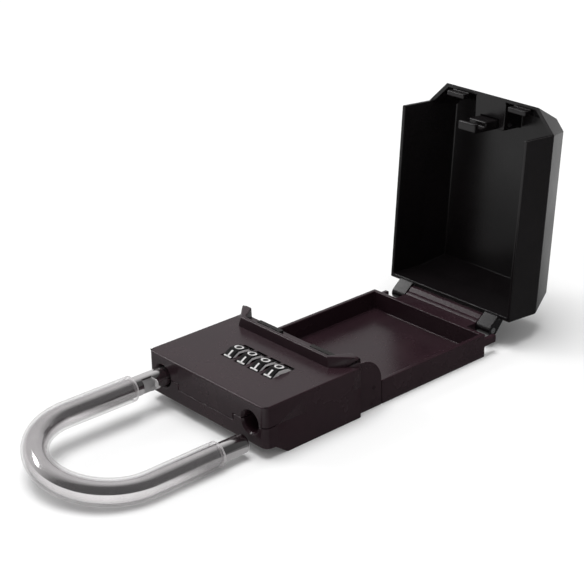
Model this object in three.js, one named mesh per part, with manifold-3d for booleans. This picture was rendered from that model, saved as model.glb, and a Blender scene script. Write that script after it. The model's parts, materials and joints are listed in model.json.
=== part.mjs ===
// A key lockbox on its back: a dial lock block, a low tray behind it, a deep hinged lid standing open,
// and a sleeved shackle drawn out of the block's end face and swung down to the table.
// X runs from the shackle end to the hinge, Y across the box, Z up from the table. Sizes are millimetres.
// The functions below count X from the block's end face; the finished box is then moved to its origin.
import * as THREE from "three";
import { mergeVertices } from "three/addons/utils/BufferGeometryUtils.js";
import { ConvexGeometry } from "three/addons/geometries/ConvexGeometry.js";
import Module from "manifold-3d";

const wasm = await Module();
wasm.setup();

// Fits
const SEAT_GAP = 0.3;
const ROD_CLEARANCE = 0.5;
const LID_SIDE_CLEARANCE = 0.6;
const LID_REST_CLEARANCE = 0.8;

// Box
const WIDTH = 80;
const BLOCK_LENGTH = 56.5;
const BLOCK_HEIGHT = 25;
const CORNER_ROUND = 3;
const CASE_WALL = 3;
const REAR_WALL = 2.6;
const CASE_FLOOR = 2.6;
const TOE_HEIGHT = 5.2;
const TOE_DROP = 0.6;
const TOE_FLAT = 6;
const TOE_LENGTH = 12.5;
const SHELF_FLOOR = 8;
const SHELF_LENGTH = 15;
const SEAM_DIP = 3;
const SEAM_DIP_WIDTH = 38;

// Tray and the plate beside it
const TRAY_LENGTH = 85.5;
const TRAY_RIM = 12;
const TRAY_WALL = 2.2;
const TRAY_FLOOR = 2.4;
const CHEEK_LENGTH = 15.5;
const CHEEK_ROUND = 12.5;
const CHEEK_THICK = 1;
const EAR_LENGTH = 8;
const EAR_BOTTOM = 5.2;
const EAR_DEPTH = 3.8;
const EAR_WALL = 2.5;

// Ridge behind the dials
const RIDGE_TOP = 29.8;
const RIDGE_WALL = 2;
const RIDGE_LENGTH = 10.5;
const RIDGE_CORNER = 11;
const RIDGE_ROUND = 3.5;
const RIDGE_TIP_WIDTH = 6.5;
const RIDGE_FOOT_SPREAD = 0.4;
const RIDGE_FOOT_CORNER = 9.5;
const PAD_INNER = 10;
const PAD_WIDTH = 16;
const PAD_LENGTH = 6;
const PAD_HEIGHT = 1.4;
const PAD_GROOVE = 1.2;

// Lid, described closed
const LID_WALL = 2;
const LID_RIM = 11.4;
const LID_SHOULDER = 31;
const LID_TOP = 46;
const LID_FRONT_GAP = 0.6;
const LID_REAR_LAP = 5.2;
const LID_SIDE_SLOPE = 6;
const LID_END_SLOPE = 7.6;
const LID_CORNER_SLOPE = 1.8;
const LID_OPEN_DEGREES = 94.5;
const TAB_INNER = 14;
const TAB_WIDTH = 11;
const TAB_THICK = 2.5;
const TAB_REACH = 4.3;
const TAB_RIDGE_GAP = 0.4;

// Hinge
const HINGE_REACH = 10.9;
const HINGE_HEIGHT = 8.7;
const BARREL_RADIUS = 3.2;
const PIN_RADIUS = 1.5;
const KNUCKLE_HALF = 23.8;
const LUG_WIDTH = 8.8;
const LUG_HEIGHT = 6;
const HEEL_REACH = 7.1;
const HEEL_BOTTOM = 1.5;
const HEEL_GAP = 0.5;

// Catch on the lid and the latch behind the block's rear wall
const BOSS_HALF = 9.5;
const BOSS_LENGTH = 15;
const CATCH_HALF = 5.5;
const CATCH_THICK = 4.5;
const CATCH_REACH = 16.7;
const CATCH_ROOT = 7.7;
const CATCH_STANDOFF = 0.8;
const CATCH_PIN_RADIUS = 1.2;
const HOOK_TIP = 3.1;
const LATCH_HALF = 7;
const LATCH_NOSE_HALF = 4.9;
const LATCH_THICK = 3.7;
const LATCH_LENGTH = 5.5;
const LATCH_TRAVEL = 3.4;
const LATCH_THROW = 2.9;
const LATCH_BEVEL = 2.2;
const LATCH_RIB = 1.7;
const SPRING_RADIUS = 1.4;
const SPRING_POST = 1.5;

// Dials
const DIAL_COUNT = 4;
const DIAL_PITCH = 9;
const DIAL_OFFSET = -4;
const DIAL_X = 27.3;
const DIAL_SINK = 7;
const DIAL_RADIUS = 9.5;
const DIAL_WIDTH = 6;
const DIAL_CHAMFER = 0.6;
const DIAL_BORE = 6.3;
const WINDOW_CLEARANCE = 0.6;
const WINDOW_SIDE = 0.5;
const SPINDLE_RADIUS = 2.2;
const SPINDLE_SEAT = 1.6;
const SPINDLE_COLLAR = 3.4;
const FLANGE_RADIUS = 5.2;
const FLANGE_WIDTH = 1.6;
const HUB_RADIUS = 3.4;
const GATE_WIDTH = 3;
const COMB_THICK = 0.7;
const COMB_BASE = 3.6;
const COMB_REACH = 9.4;
const COMB_FINGER = 3.2;
const CHAMBER_LEFT = 20;
const CHAMBER_RIGHT = 23;

// Shackle
const SHACKLE_SPACING = 60;
const HOLE_HEIGHT = 15;
const ROD_RADIUS = 4.5;
const HOLE_MOUTH = 0.9;
const HOLE_MOUTH_DEPTH = 1.2;
const SHORT_HOLE_DEPTH = 22;
const SHACKLE_REACH = 52.8;
const SHORT_LEG_GAP = 3.2;
const LONG_LEG_INSIDE = 21;
const SHACKLE_DROP_DEGREES = 8.5;
const TIP_CHAMFER = 1;
const NOTCH_START = 13.6;
const NOTCH_LENGTH = 7.6;
const NOTCH_DEPTH = 2.5;
const SLEEVE_RADIUS = 6;
const SLEEVE_WALL = 1;
const SLEEVE_END = 17.5;
const COLLAR_START = 14.3;
const COLLAR_WIDTH = 2;
const COLLAR_RADIUS = 6.1;
const COLLAR_GROOVE = 1.3;
const COLLAR_SLOT = 5;
const SHACKLE_TRAVEL = 19.5;

// Shackle bolt, release slide and reset lever
const BOLT_X = 8.2;
const BOLT_WIDTH = 4;
const BOLT_HALF_HEIGHT = 3;
const BOLT_LENGTH = 9.1;
const BOLT_ARM = 5;
const BOLT_UPRIGHT = 1.8;
const SLIDE_Y = 14;
const SLIDE_WIDTH = 4;
const SLIDE_BOTTOM = 4;
const SLIDE_THICK = 2.8;
const SLIDE_TRAVEL = 2.5;
const BUTTON_THICK = 3;
const BUTTON_WIDTH = 6;
const BUTTON_BOTTOM = 3.2;
const BUTTON_HEIGHT = 6.8;
const LEVER_Y = -15;
const LEVER_HEIGHT = 10;
const LEVER_SHAFT = 1.8;
const LEVER_DISC = 3.4;
const LEVER_THICK = 1.8;
const LEVER_HANDLE = 8;
const LEVER_HANDLE_WIDTH = 2.4;
const LEVER_CAM = 3;
const LEVER_CAM_THICK = 3;

// Screws that hold the block's two castings together
const SCREW_SHANK = 1.4;
const SCREW_HEAD = 2.9;
const SCREW_HEAD_THICK = 1.8;
const SCREW_POST = 3.4;
const SCREW_END_BELOW_TOP = 4.4;
const FRONT_SCREW_SEAT = 6;
const REAR_SCREW_SEAT = 2.2;
const FRONT_SCREW_X = 7;
const REAR_SCREW_X = 51;
const FRONT_SCREW_LEFT = 8;
const FRONT_SCREW_RIGHT = -18;
const REAR_SCREW_INSET = 7;
const LIGHTEN_START = 29;
const LIGHTEN_END = 46;
const LIGHTEN_RIB = 3;

// Places that follow from the sizes above
const halfWidth = WIDTH / 2;
const seamLow = HOLE_HEIGHT - SEAT_GAP / 2;
const seamHigh = HOLE_HEIGHT + SEAT_GAP / 2;
const ceiling = BLOCK_HEIGHT - CASE_WALL;
const rearFace = BLOCK_LENGTH;
const rearInside = BLOCK_LENGTH - REAR_WALL;
const trayHalf = halfWidth - LID_WALL - LID_SIDE_CLEARANCE;
const trayEnd = rearFace + TRAY_LENGTH;
const backMiddle = (TOE_LENGTH + trayEnd) / 2;
const hingeX = trayEnd + HINGE_REACH;
const longY = SHACKLE_SPACING / 2;
const boreRadius = ROD_RADIUS + ROD_CLEARANCE;
const ridgeFront = rearFace - RIDGE_LENGTH;
const ridgeHalf = halfWidth - RIDGE_CORNER;
const lidFront = rearFace + LID_FRONT_GAP;
const lidRear = trayEnd + LID_REAR_LAP;
const dialZ = BLOCK_HEIGHT - DIAL_SINK;
const latchTop = ceiling - SEAT_GAP;
const latchBottom = latchTop - LATCH_THICK;
const latchBack = rearInside - SEAT_GAP;
const latchFront = latchBack - LATCH_LENGTH;
const catchFront = rearFace + CATCH_STANDOFF;
const catchTip = LID_SHOULDER - CATCH_REACH;
const screws = [
  { name: "cover_screw_front_left", x: FRONT_SCREW_X, y: FRONT_SCREW_LEFT, seat: FRONT_SCREW_SEAT },
  { name: "cover_screw_front_right", x: FRONT_SCREW_X, y: FRONT_SCREW_RIGHT, seat: FRONT_SCREW_SEAT },
  { name: "cover_screw_rear_left", x: REAR_SCREW_X, y: halfWidth - REAR_SCREW_INSET, seat: REAR_SCREW_SEAT },
  { name: "cover_screw_rear_right", x: REAR_SCREW_X, y: REAR_SCREW_INSET - halfWidth, seat: REAR_SCREW_SEAT },
];

// Solids from geometry, and back
function solidOf(geometry) {
  const bare = geometry.clone();
  for (const key of Object.keys(bare.attributes)) {
    if (key !== "position") bare.deleteAttribute(key);
  }
  const merged = mergeVertices(bare, 1e-5);
  const at = merged.attributes.position;
  const kept = [];
  let volume = 0;
  const [a, b, c] = [new THREE.Vector3(), new THREE.Vector3(), new THREE.Vector3()];
  for (let i = 0; i < merged.index.count; i += 3) {
    const [p, q, r] = [0, 1, 2].map((k) => merged.index.getX(i + k));
    if (p === q || q === r || r === p) continue;
    kept.push(p, q, r);
    a.fromBufferAttribute(at, p);
    b.fromBufferAttribute(at, q);
    c.fromBufferAttribute(at, r);
    volume += a.dot(b.clone().cross(c));
  }
  if (volume < 0) kept.reverse();
  const mesh = new wasm.Mesh({
    numProp: 3,
    vertProperties: new Float32Array(at.array),
    triVerts: new Uint32Array(kept),
  });
  return new wasm.Manifold(mesh);
}

function geometryOf(solid) {
  const mesh = solid.getMesh();
  const geometry = new THREE.BufferGeometry();
  geometry.setAttribute("position", new THREE.BufferAttribute(new Float32Array(mesh.vertProperties), 3));
  geometry.setIndex(new THREE.BufferAttribute(new Uint32Array(mesh.triVerts), 1));
  geometry.computeVertexNormals();
  return geometry;
}

function join(first, ...others) {
  return others.reduce((whole, next) => whole.add(next), first);
}

function cut(first, ...tools) {
  return tools.reduce((whole, tool) => whole.subtract(tool), first);
}

// Plain shapes, given by their ends along each axis
function box(x0, x1, y0, y1, z0, z1) {
  const geometry = new THREE.BoxGeometry(x1 - x0, y1 - y0, z1 - z0);
  return solidOf(geometry.translate((x0 + x1) / 2, (y0 + y1) / 2, (z0 + z1) / 2));
}

function outline(points) {
  return new THREE.Shape(points.map(([u, v]) => new THREE.Vector2(u, v)));
}

function slabXZ(points, y0, y1) {
  const geometry = new THREE.ExtrudeGeometry(outline(points), { depth: y1 - y0, bevelEnabled: false });
  return solidOf(geometry.rotateX(Math.PI / 2).translate(0, y1, 0));
}

function slabXY(points, z0, z1) {
  const geometry = new THREE.ExtrudeGeometry(outline(points), { depth: z1 - z0, bevelEnabled: false });
  return solidOf(geometry.translate(0, 0, z0));
}

function rodX(radius, x0, x1, y, z, sides = 24, endRadius = radius) {
  const geometry = new THREE.CylinderGeometry(endRadius, radius, x1 - x0, sides);
  return solidOf(geometry.rotateZ(-Math.PI / 2).translate((x0 + x1) / 2, y, z));
}

function rodY(radius, x, y0, y1, z, sides = 24) {
  const geometry = new THREE.CylinderGeometry(radius, radius, y1 - y0, sides);
  return solidOf(geometry.translate(x, (y0 + y1) / 2, z));
}

function rodZ(radius, x, y, z0, z1, sides = 20) {
  const geometry = new THREE.CylinderGeometry(radius, radius, z1 - z0, sides);
  return solidOf(geometry.rotateX(Math.PI / 2).translate(x, y, (z0 + z1) / 2));
}

function turned(profile, sides) {
  return new THREE.LatheGeometry(profile.map(([r, h]) => new THREE.Vector2(r, h)), sides);
}

function hull(points) {
  return solidOf(new ConvexGeometry(points.map(([x, y, z]) => new THREE.Vector3(x, y, z))));
}

function bothSides(make) {
  return [make(1), make(-1)];
}

// Shared cuts
function shackleBores() {
  const end = COLLAR_START + SHACKLE_TRAVEL + LONG_LEG_INSIDE - COLLAR_START + SEAT_GAP + COLLAR_WIDTH;
  const mouth = boreRadius + HOLE_MOUTH;
  return [
    rodX(boreRadius, -1, COLLAR_START - SEAT_GAP + 0.01, longY, HOLE_HEIGHT),
    rodX(COLLAR_RADIUS + SEAT_GAP, COLLAR_START - SEAT_GAP, end, longY, HOLE_HEIGHT),
    rodX(boreRadius, -1, SHORT_HOLE_DEPTH, -longY, HOLE_HEIGHT),
    rodX(mouth, -0.01, HOLE_MOUTH_DEPTH, longY, HOLE_HEIGHT, 24, boreRadius),
    rodX(mouth, -0.01, HOLE_MOUTH_DEPTH, -longY, HOLE_HEIGHT, 24, boreRadius),
  ];
}

function boltSlot() {
  const half = BOLT_HALF_HEIGHT + SEAT_GAP;
  return box(
    BOLT_X - SEAT_GAP, BOLT_X + BOLT_WIDTH + SEAT_GAP,
    CHAMBER_LEFT - 1, longY - boreRadius + 2,
    HOLE_HEIGHT - half, HOLE_HEIGHT + half,
  );
}

// Rounds the block's two upright corners at the shackle end
function roundedPlan() {
  const steps = 5;
  const turn = [...Array(steps + 1).keys()].map((i) => {
    const a = (i / steps) * (Math.PI / 2);
    return [CORNER_ROUND - CORNER_ROUND * Math.sin(a), halfWidth - CORNER_ROUND + CORNER_ROUND * Math.cos(a)];
  });
  const mirrored = turn.map(([x, y]) => [x, -y]).reverse();
  return slabXY([[rearFace + 1, halfWidth], ...turn, ...mirrored, [rearFace + 1, -halfWidth]], -1, BLOCK_HEIGHT + 1);
}

// Back casting: lower half of the lock block, tray, hinge knuckle and ears
function blockLower() {
  return slabXZ([
    [0, TOE_HEIGHT],
    [TOE_FLAT, TOE_HEIGHT - TOE_DROP],
    [TOE_LENGTH, 0],
    [rearFace, 0],
    [rearFace, seamLow],
    [0, seamLow],
  ], -halfWidth, halfWidth).intersect(roundedPlan());
}

function trayShell() {
  const whole = box(rearInside, trayEnd, -trayHalf, trayHalf, 0, TRAY_RIM);
  const inside = trayHalf - TRAY_WALL;
  return cut(whole, box(rearFace, trayEnd - TRAY_WALL, -inside, inside, TRAY_FLOOR, TRAY_RIM + 1));
}

function hingeKnuckle() {
  const stopZ = HINGE_HEIGHT + openFaceDrop(HEEL_REACH);
  const barrel = rodY(BARREL_RADIUS, hingeX, -KNUCKLE_HALF, KNUCKLE_HALF, HINGE_HEIGHT);
  const armTop = LID_RIM - LID_FRONT_GAP;
  const arm = box(trayEnd - 1, hingeX, -KNUCKLE_HALF, KNUCKLE_HALF, HINGE_HEIGHT - BARREL_RADIUS, armTop);
  const heel = slabXZ([
    [hingeX, HINGE_HEIGHT - BARREL_RADIUS / 2],
    [hingeX + HEEL_REACH, HINGE_HEIGHT + HEEL_BOTTOM],
    [hingeX + HEEL_REACH, stopZ],
    [hingeX + HEEL_BOTTOM, HINGE_HEIGHT + openFaceDrop(HEEL_BOTTOM)],
    [hingeX - BARREL_RADIUS / 2, HINGE_HEIGHT + BARREL_RADIUS / 2],
  ], -KNUCKLE_HALF, KNUCKLE_HALF);
  return join(arm, barrel, heel);
}

// How far above the hinge axis the open lid's end wall lies, less the stop's gap
function openFaceDrop(reach) {
  const angle = THREE.MathUtils.degToRad(LID_OPEN_DEGREES);
  const offset = hingeX - lidRear;
  return (offset - reach * Math.cos(Math.PI - angle)) / Math.sin(angle) - HEEL_GAP;
}

function latchGuide() {
  const top = latchBottom - SEAT_GAP;
  const half = LATCH_HALF + 1;
  const seat = join(
    box(latchFront + 1, rearInside + 0.5, -half, half, CASE_FLOOR - 0.5, seamLow),
    box(latchFront + 1, rearInside - SEAT_GAP, -half, half, seamLow - 0.5, top),
  );
  const postBack = latchFront - LATCH_TRAVEL - SEAT_GAP;
  const post = box(postBack - SPRING_POST, postBack, -CATCH_HALF / 2, CATCH_HALF / 2, CASE_FLOOR - 0.5, latchTop);
  return join(seat, post);
}

function backBody() {
  let body = join(blockLower(), trayShell());
  body = cut(
    body,
    box(SHELF_LENGTH, rearInside, -CHAMBER_RIGHT, CHAMBER_LEFT, CASE_FLOOR, BLOCK_HEIGHT),
    box(CASE_WALL, SHELF_LENGTH + 1, -CHAMBER_RIGHT, CHAMBER_LEFT, SHELF_FLOOR, BLOCK_HEIGHT),
    lightening(CASE_FLOOR, BLOCK_HEIGHT),
    box(-1, CASE_WALL + 0.5, -SEAM_DIP_WIDTH / 2, SEAM_DIP_WIDTH / 2, seamLow - SEAM_DIP, BLOCK_HEIGHT),
  );
  const fronts = screws.filter((s) => s.seat === FRONT_SCREW_SEAT);
  const posts = fronts.map((s) => rodZ(SCREW_POST, s.x, s.y, SHELF_FLOOR - 0.5, seamLow));
  body = join(body, latchGuide(), hingeKnuckle(), ...posts, ...bothSides(earPlate));
  const holes = screws.flatMap((s) => [
    rodZ(SCREW_SHANK + SEAT_GAP, s.x, s.y, -1, seamLow + 1),
    rodZ(SCREW_HEAD + SEAT_GAP, s.x, s.y, -1, s.seat),
  ]);
  const slideLow = SLIDE_BOTTOM - SEAT_GAP;
  const slideHigh = SLIDE_BOTTOM + SLIDE_THICK + SEAT_GAP;
  const slideSlot = box(
    rearInside - 1, rearFace + 1,
    SLIDE_Y - SLIDE_TRAVEL - SEAT_GAP, SLIDE_Y + SLIDE_WIDTH + SEAT_GAP,
    slideLow, slideHigh,
  );
  return cut(
    body,
    ...holes,
    ...shackleBores(),
    boltSlot(),
    slideSlot,
    cheekSeat(),
    rodX(LEVER_SHAFT + SEAT_GAP, rearInside - 1, rearFace + 1, LEVER_Y, LEVER_HEIGHT),
    rodY(PIN_RADIUS + SEAT_GAP, hingeX, -KNUCKLE_HALF - 1, KNUCKLE_HALF + 1, HINGE_HEIGHT, 16),
  );
}

function lightening(z0, z1) {
  return box(LIGHTEN_START, LIGHTEN_END, -halfWidth + CASE_WALL, -CHAMBER_RIGHT - LIGHTEN_RIB, z0, z1);
}

function earPlate(side) {
  const outer = side * trayHalf;
  const inner = side * (trayHalf - EAR_WALL);
  const top = EAR_BOTTOM + EAR_DEPTH;
  return box(
    trayEnd - TRAY_WALL, trayEnd + EAR_LENGTH,
    Math.min(outer, inner), Math.max(outer, inner),
    EAR_BOTTOM, top,
  );
}

// Upper casting: dial face and ridge
function ridge() {
  const foot = ridgeFront - RIDGE_FOOT_SPREAD;
  const footHalf = halfWidth - RIDGE_FOOT_CORNER;
  const below = BLOCK_HEIGHT - 1;
  const corner = [0, 0.25, 0.5, 0.75, 1].map((share) => {
    const a = share * (Math.PI / 2);
    return [halfWidth - RIDGE_ROUND * (1 - Math.cos(a)), RIDGE_TOP - RIDGE_ROUND * (1 - Math.sin(a))];
  });
  const tips = hull(bothSides((s) => [foot - 1, rearFace + 1].flatMap((x) => [
    [x, s * halfWidth, below - 1],
    ...corner.map(([y, z]) => [x, s * y, z]),
  ])).flat());
  const outer = hull(bothSides((s) => [
    [foot, s * footHalf, BLOCK_HEIGHT],
    [foot, s * footHalf, below],
    [rearFace, s * halfWidth, below],
    [rearFace, s * halfWidth, RIDGE_TOP],
    [ridgeFront, s * ridgeHalf, RIDGE_TOP],
  ]).flat()).intersect(tips);
  const inside = ridgeHalf - RIDGE_WALL * Math.tan(Math.PI / 8);
  const reach = RIDGE_LENGTH - RIDGE_WALL;
  const slope = (halfWidth - RIDGE_TIP_WIDTH - inside) / reach;
  const past = reach + 1;
  const hollow = slabXY([
    [ridgeFront + RIDGE_WALL, inside],
    [ridgeFront + RIDGE_WALL + past, inside + past * slope],
    [ridgeFront + RIDGE_WALL + past, -inside - past * slope],
    [ridgeFront + RIDGE_WALL, -inside],
  ], BLOCK_HEIGHT, RIDGE_TOP + 1);
  return cut(outer, hollow);
}

// A plate in the tray's right wall, standing behind the block, with its upper rear corner rounded
function sideCheek() {
  const x0 = rearFace + SEAT_GAP;
  const x1 = rearFace + CHEEK_LENGTH;
  const steps = 10;
  const rounded = [...Array(steps + 1).keys()].map((i) => {
    const a = (i / steps) * (Math.PI / 2);
    return [x1 - CHEEK_ROUND * (1 - Math.cos(a)), BLOCK_HEIGHT - CHEEK_ROUND * (1 - Math.sin(a))];
  });
  return slabXZ([[x0, 0], [x1, 0], ...rounded, [x0, BLOCK_HEIGHT]], -trayHalf, CHEEK_THICK - trayHalf);
}

function cheekSeat() {
  const inner = CHEEK_THICK + SEAT_GAP - trayHalf;
  return box(rearFace, rearFace + CHEEK_LENGTH + SEAT_GAP, -trayHalf - 1, inner, -1, TRAY_RIM + 1);
}

function dialY(index) {
  return DIAL_OFFSET + (index - (DIAL_COUNT - 1) / 2) * DIAL_PITCH;
}

function dialIndexes() {
  return [...Array(DIAL_COUNT).keys()];
}

function dialWindows() {
  const half = DIAL_WIDTH / 2 + WINDOW_SIDE;
  return dialIndexes().map((i) =>
    rodY(DIAL_RADIUS + WINDOW_CLEARANCE, DIAL_X, dialY(i) - half, dialY(i) + half, dialZ, 40));
}

function flangeRelief() {
  const first = dialY(0) - DIAL_WIDTH / 2;
  const last = dialY(DIAL_COUNT - 1) + DIAL_PITCH - DIAL_WIDTH / 2;
  return rodY(FLANGE_RADIUS + WINDOW_SIDE, DIAL_X, first, last, dialZ, 24);
}

function spindleSaddle(side) {
  const wall = side > 0 ? CHAMBER_LEFT : -CHAMBER_RIGHT;
  const deep = wall + side * (SPINDLE_SEAT + SEAT_GAP);
  const y0 = Math.min(wall - side, deep);
  const y1 = Math.max(wall - side, deep);
  const radius = SPINDLE_RADIUS + SEAT_GAP;
  return join(
    rodY(radius, DIAL_X, y0, y1, dialZ, 20),
    box(DIAL_X - radius, DIAL_X + radius, y0, y1, HOLE_HEIGHT - 1, dialZ),
  );
}

function combRib() {
  const x0 = SHELF_LENGTH - SEAT_GAP - COMB_BASE;
  const low = SHELF_FLOOR + COMB_THICK + SEAT_GAP;
  return box(x0, x0 + COMB_BASE - SEAT_GAP, dialY(0) - 1, dialY(2) + DIAL_WIDTH / 2, low, ceiling + 0.5);
}

function lockCover() {
  const dip = SEAM_DIP_WIDTH / 2 - SEAT_GAP;
  let cover = join(
    box(0, rearFace, -halfWidth, halfWidth, seamHigh, BLOCK_HEIGHT).intersect(roundedPlan()),
    box(0, CASE_WALL, -dip, dip, seamHigh - SEAM_DIP, seamHigh + 1),
  );
  cover = cut(
    cover,
    box(CASE_WALL, rearInside, -CHAMBER_RIGHT, CHAMBER_LEFT, HOLE_HEIGHT - 1, ceiling),
    lightening(HOLE_HEIGHT - 1, ceiling),
  );
  const fronts = screws.filter((s) => s.seat === FRONT_SCREW_SEAT);
  const posts = fronts.map((s) => rodZ(SCREW_POST, s.x, s.y, seamHigh, ceiling + 0.5));
  const ribs = bothSides((s) => {
    const near = s * (LATCH_HALF + SEAT_GAP);
    const far = s * (LATCH_HALF + SEAT_GAP + LATCH_RIB);
    const low = latchBottom;
    return box(latchFront + 1, rearInside + 0.5, Math.min(near, far), Math.max(near, far), low, ceiling + 0.5);
  });
  cover = join(cover, combRib(), ...posts, ...ribs, ridge());
  const nose = LATCH_NOSE_HALF + SEAT_GAP;
  const latchWindow = box(
    rearInside - 1, rearFace + 1, -nose, nose, latchBottom - SEAT_GAP, latchTop + SEAT_GAP,
  );
  const top = BLOCK_HEIGHT - SCREW_END_BELOW_TOP + SEAT_GAP;
  const holes = screws.map((s) => rodZ(SCREW_SHANK + SEAT_GAP, s.x, s.y, HOLE_HEIGHT - 1, top));
  return cut(
    cover,
    ...shackleBores(),
    boltSlot(),
    ...dialWindows(),
    flangeRelief(),
    ...bothSides(spindleSaddle),
    latchWindow,
    ...holes,
  );
}

function restPad(side) {
  const x0 = rearFace - 1 - PAD_LENGTH;
  const near = side * PAD_INNER;
  const far = side * (PAD_INNER + PAD_WIDTH);
  const y0 = Math.min(near, far);
  const y1 = Math.max(near, far);
  const pad = box(x0, x0 + PAD_LENGTH, y0, y1, BLOCK_HEIGHT, BLOCK_HEIGHT + PAD_HEIGHT);
  const mid = x0 + PAD_LENGTH / 2;
  const groove = box(
    mid - PAD_GROOVE / 2, mid + PAD_GROOVE / 2, y0 - 1, y1 + 1,
    BLOCK_HEIGHT + PAD_HEIGHT / 2, BLOCK_HEIGHT + PAD_HEIGHT + 1,
  );
  return cut(pad, groove);
}

// Lid, in its closed place with the hinge axis at the origin
function lidOutline(z) {
  const t = Math.max(0, z - LID_SHOULDER) / (LID_TOP - LID_SHOULDER);
  return {
    rear: lidRear - LID_SIDE_SLOPE * t,
    side: halfWidth - LID_SIDE_SLOPE * t,
    corner: lidFront + LID_CORNER_SLOPE * t,
    front: ridgeFront + LID_END_SLOPE * t,
    half: ridgeHalf,
  };
}

function lidRing(z, inset) {
  const o = lidOutline(z);
  const narrow = inset * Math.tan(Math.PI / 8);
  return bothSides((s) => [
    [o.rear - inset, s * (o.side - inset), z],
    [o.corner + narrow, s * (o.side - inset), z],
    [o.front + inset, s * (o.half - narrow), z],
  ]).flat();
}

function lidShell() {
  const plate = LID_TOP - LID_WALL;
  const overlap = 0.02;
  const crown = hull([...lidRing(LID_SHOULDER, 0), ...lidRing(LID_TOP, 0)]);
  const skirt = box(lidFront, lidRear, -halfWidth, halfWidth, LID_RIM, LID_SHOULDER + overlap);
  const inner = halfWidth - LID_WALL;
  const lowRing = lidRing(LID_SHOULDER, LID_WALL);
  const dropped = lowRing.map(([x, y, z]) => [x, y, z - overlap]);
  let shell = cut(
    join(crown, skirt),
    hull([...lowRing, ...dropped, ...lidRing(plate, LID_WALL)]),
    box(ridgeFront - 1, lidRear - LID_WALL, -inner, inner, LID_RIM - 1, LID_SHOULDER + overlap / 2),
  );
  const bossStart = ridgeFront + LID_WALL / 2;
  const bossBlock = box(bossStart, bossStart + BOSS_LENGTH, -BOSS_HALF, BOSS_HALF, LID_SHOULDER, plate + 0.5);
  shell = join(shell, bossBlock.intersect(crown), ...bothSides(lidTab), ...bothSides(lidLug));
  const root = CATCH_HALF + SEAT_GAP;
  const slot = box(
    catchFront - SEAT_GAP, catchFront + CATCH_THICK + SEAT_GAP, -root, root,
    LID_SHOULDER - 1, LID_SHOULDER + CATCH_ROOT + SEAT_GAP,
  );
  const half = KNUCKLE_HALF + LUG_WIDTH + 2;
  return cut(
    shell,
    slot,
    rodY(CATCH_PIN_RADIUS + SEAT_GAP, catchPinX(), -BOSS_HALF - 1, BOSS_HALF + 1, catchPinZ(), 12),
    rodY(PIN_RADIUS + SEAT_GAP, hingeX, -half, half, HINGE_HEIGHT, 16),
  );
}

function lidTab(side) {
  const near = side * TAB_INNER;
  const far = side * (TAB_INNER + TAB_WIDTH);
  const y0 = Math.min(near, far);
  const y1 = Math.max(near, far);
  const x0 = ridgeFront + RIDGE_WALL + TAB_RIDGE_GAP;
  const leaf = box(x0, x0 + TAB_THICK, y0, y1, LID_SHOULDER - TAB_REACH, LID_SHOULDER + 1);
  const root = box(ridgeFront + LID_WALL / 2 + 0.5, x0 + TAB_THICK, y0, y1, LID_SHOULDER, LID_SHOULDER + 2);
  return join(leaf, root);
}

function lidLug(side) {
  const near = side * (KNUCKLE_HALF + SEAT_GAP);
  const far = side * (KNUCKLE_HALF + SEAT_GAP + LUG_WIDTH);
  const ends = [Math.min(near, far), Math.max(near, far)];
  const points = [];
  for (const y of ends) {
    for (let i = 0; i < 16; i += 1) {
      const a = (i / 16) * 2 * Math.PI;
      points.push([hingeX + BARREL_RADIUS * Math.cos(a), y, HINGE_HEIGHT + BARREL_RADIUS * Math.sin(a)]);
    }
    points.push([lidRear - LID_WALL / 2, y, LID_RIM]);
    points.push([lidRear - LID_WALL / 2, y, LID_RIM + LUG_HEIGHT]);
  }
  return hull(points);
}

function catchPinX() {
  return catchFront + CATCH_THICK / 2;
}

function catchPinZ() {
  return LID_SHOULDER + CATCH_ROOT / 2;
}

function lidCatch() {
  const whole = box(
    catchFront, catchFront + CATCH_THICK, -CATCH_HALF, CATCH_HALF, catchTip, LID_SHOULDER + CATCH_ROOT,
  );
  const reach = rearFace + LATCH_THROW + SEAT_GAP * 2;
  const throat = box(
    catchFront - 1, reach, -CATCH_HALF - 1, CATCH_HALF + 1, catchTip + HOOK_TIP, latchTop + SEAT_GAP * 2,
  );
  const pinHole = rodY(
    CATCH_PIN_RADIUS + SEAT_GAP, catchPinX(), -CATCH_HALF - 1, CATCH_HALF + 1, catchPinZ(), 12,
  );
  return cut(whole, throat, pinHole);
}

// Dials
function dialWheel() {
  const half = DIAL_WIDTH / 2;
  const rim = DIAL_RADIUS - DIAL_CHAMFER;
  return solidOf(turned([
    [DIAL_BORE, -half],
    [rim, -half],
    [DIAL_RADIUS, -half + DIAL_CHAMFER],
    [DIAL_RADIUS, half - DIAL_CHAMFER],
    [rim, half],
    [DIAL_BORE, half],
    [DIAL_BORE, -half],
  ], 30));
}

function tumbler() {
  const half = DIAL_WIDTH / 2;
  const flange = half + SEAT_GAP;
  const bore = SPINDLE_RADIUS + SEAT_GAP;
  const sleeve = DIAL_BORE - SEAT_GAP;
  const end = DIAL_PITCH - half - SEAT_GAP;
  const body = solidOf(turned([
    [bore, -half],
    [sleeve, -half],
    [sleeve, flange],
    [FLANGE_RADIUS, flange],
    [FLANGE_RADIUS, flange + FLANGE_WIDTH],
    [HUB_RADIUS, flange + FLANGE_WIDTH],
    [HUB_RADIUS, end],
    [bore, end],
    [bore, -half],
  ], 20));
  const gate = box(
    HUB_RADIUS + 1, FLANGE_RADIUS + 1, flange + 0.01, flange + FLANGE_WIDTH + 0.1,
    -GATE_WIDTH / 2, GATE_WIDTH / 2,
  );
  return cut(body, gate);
}

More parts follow.
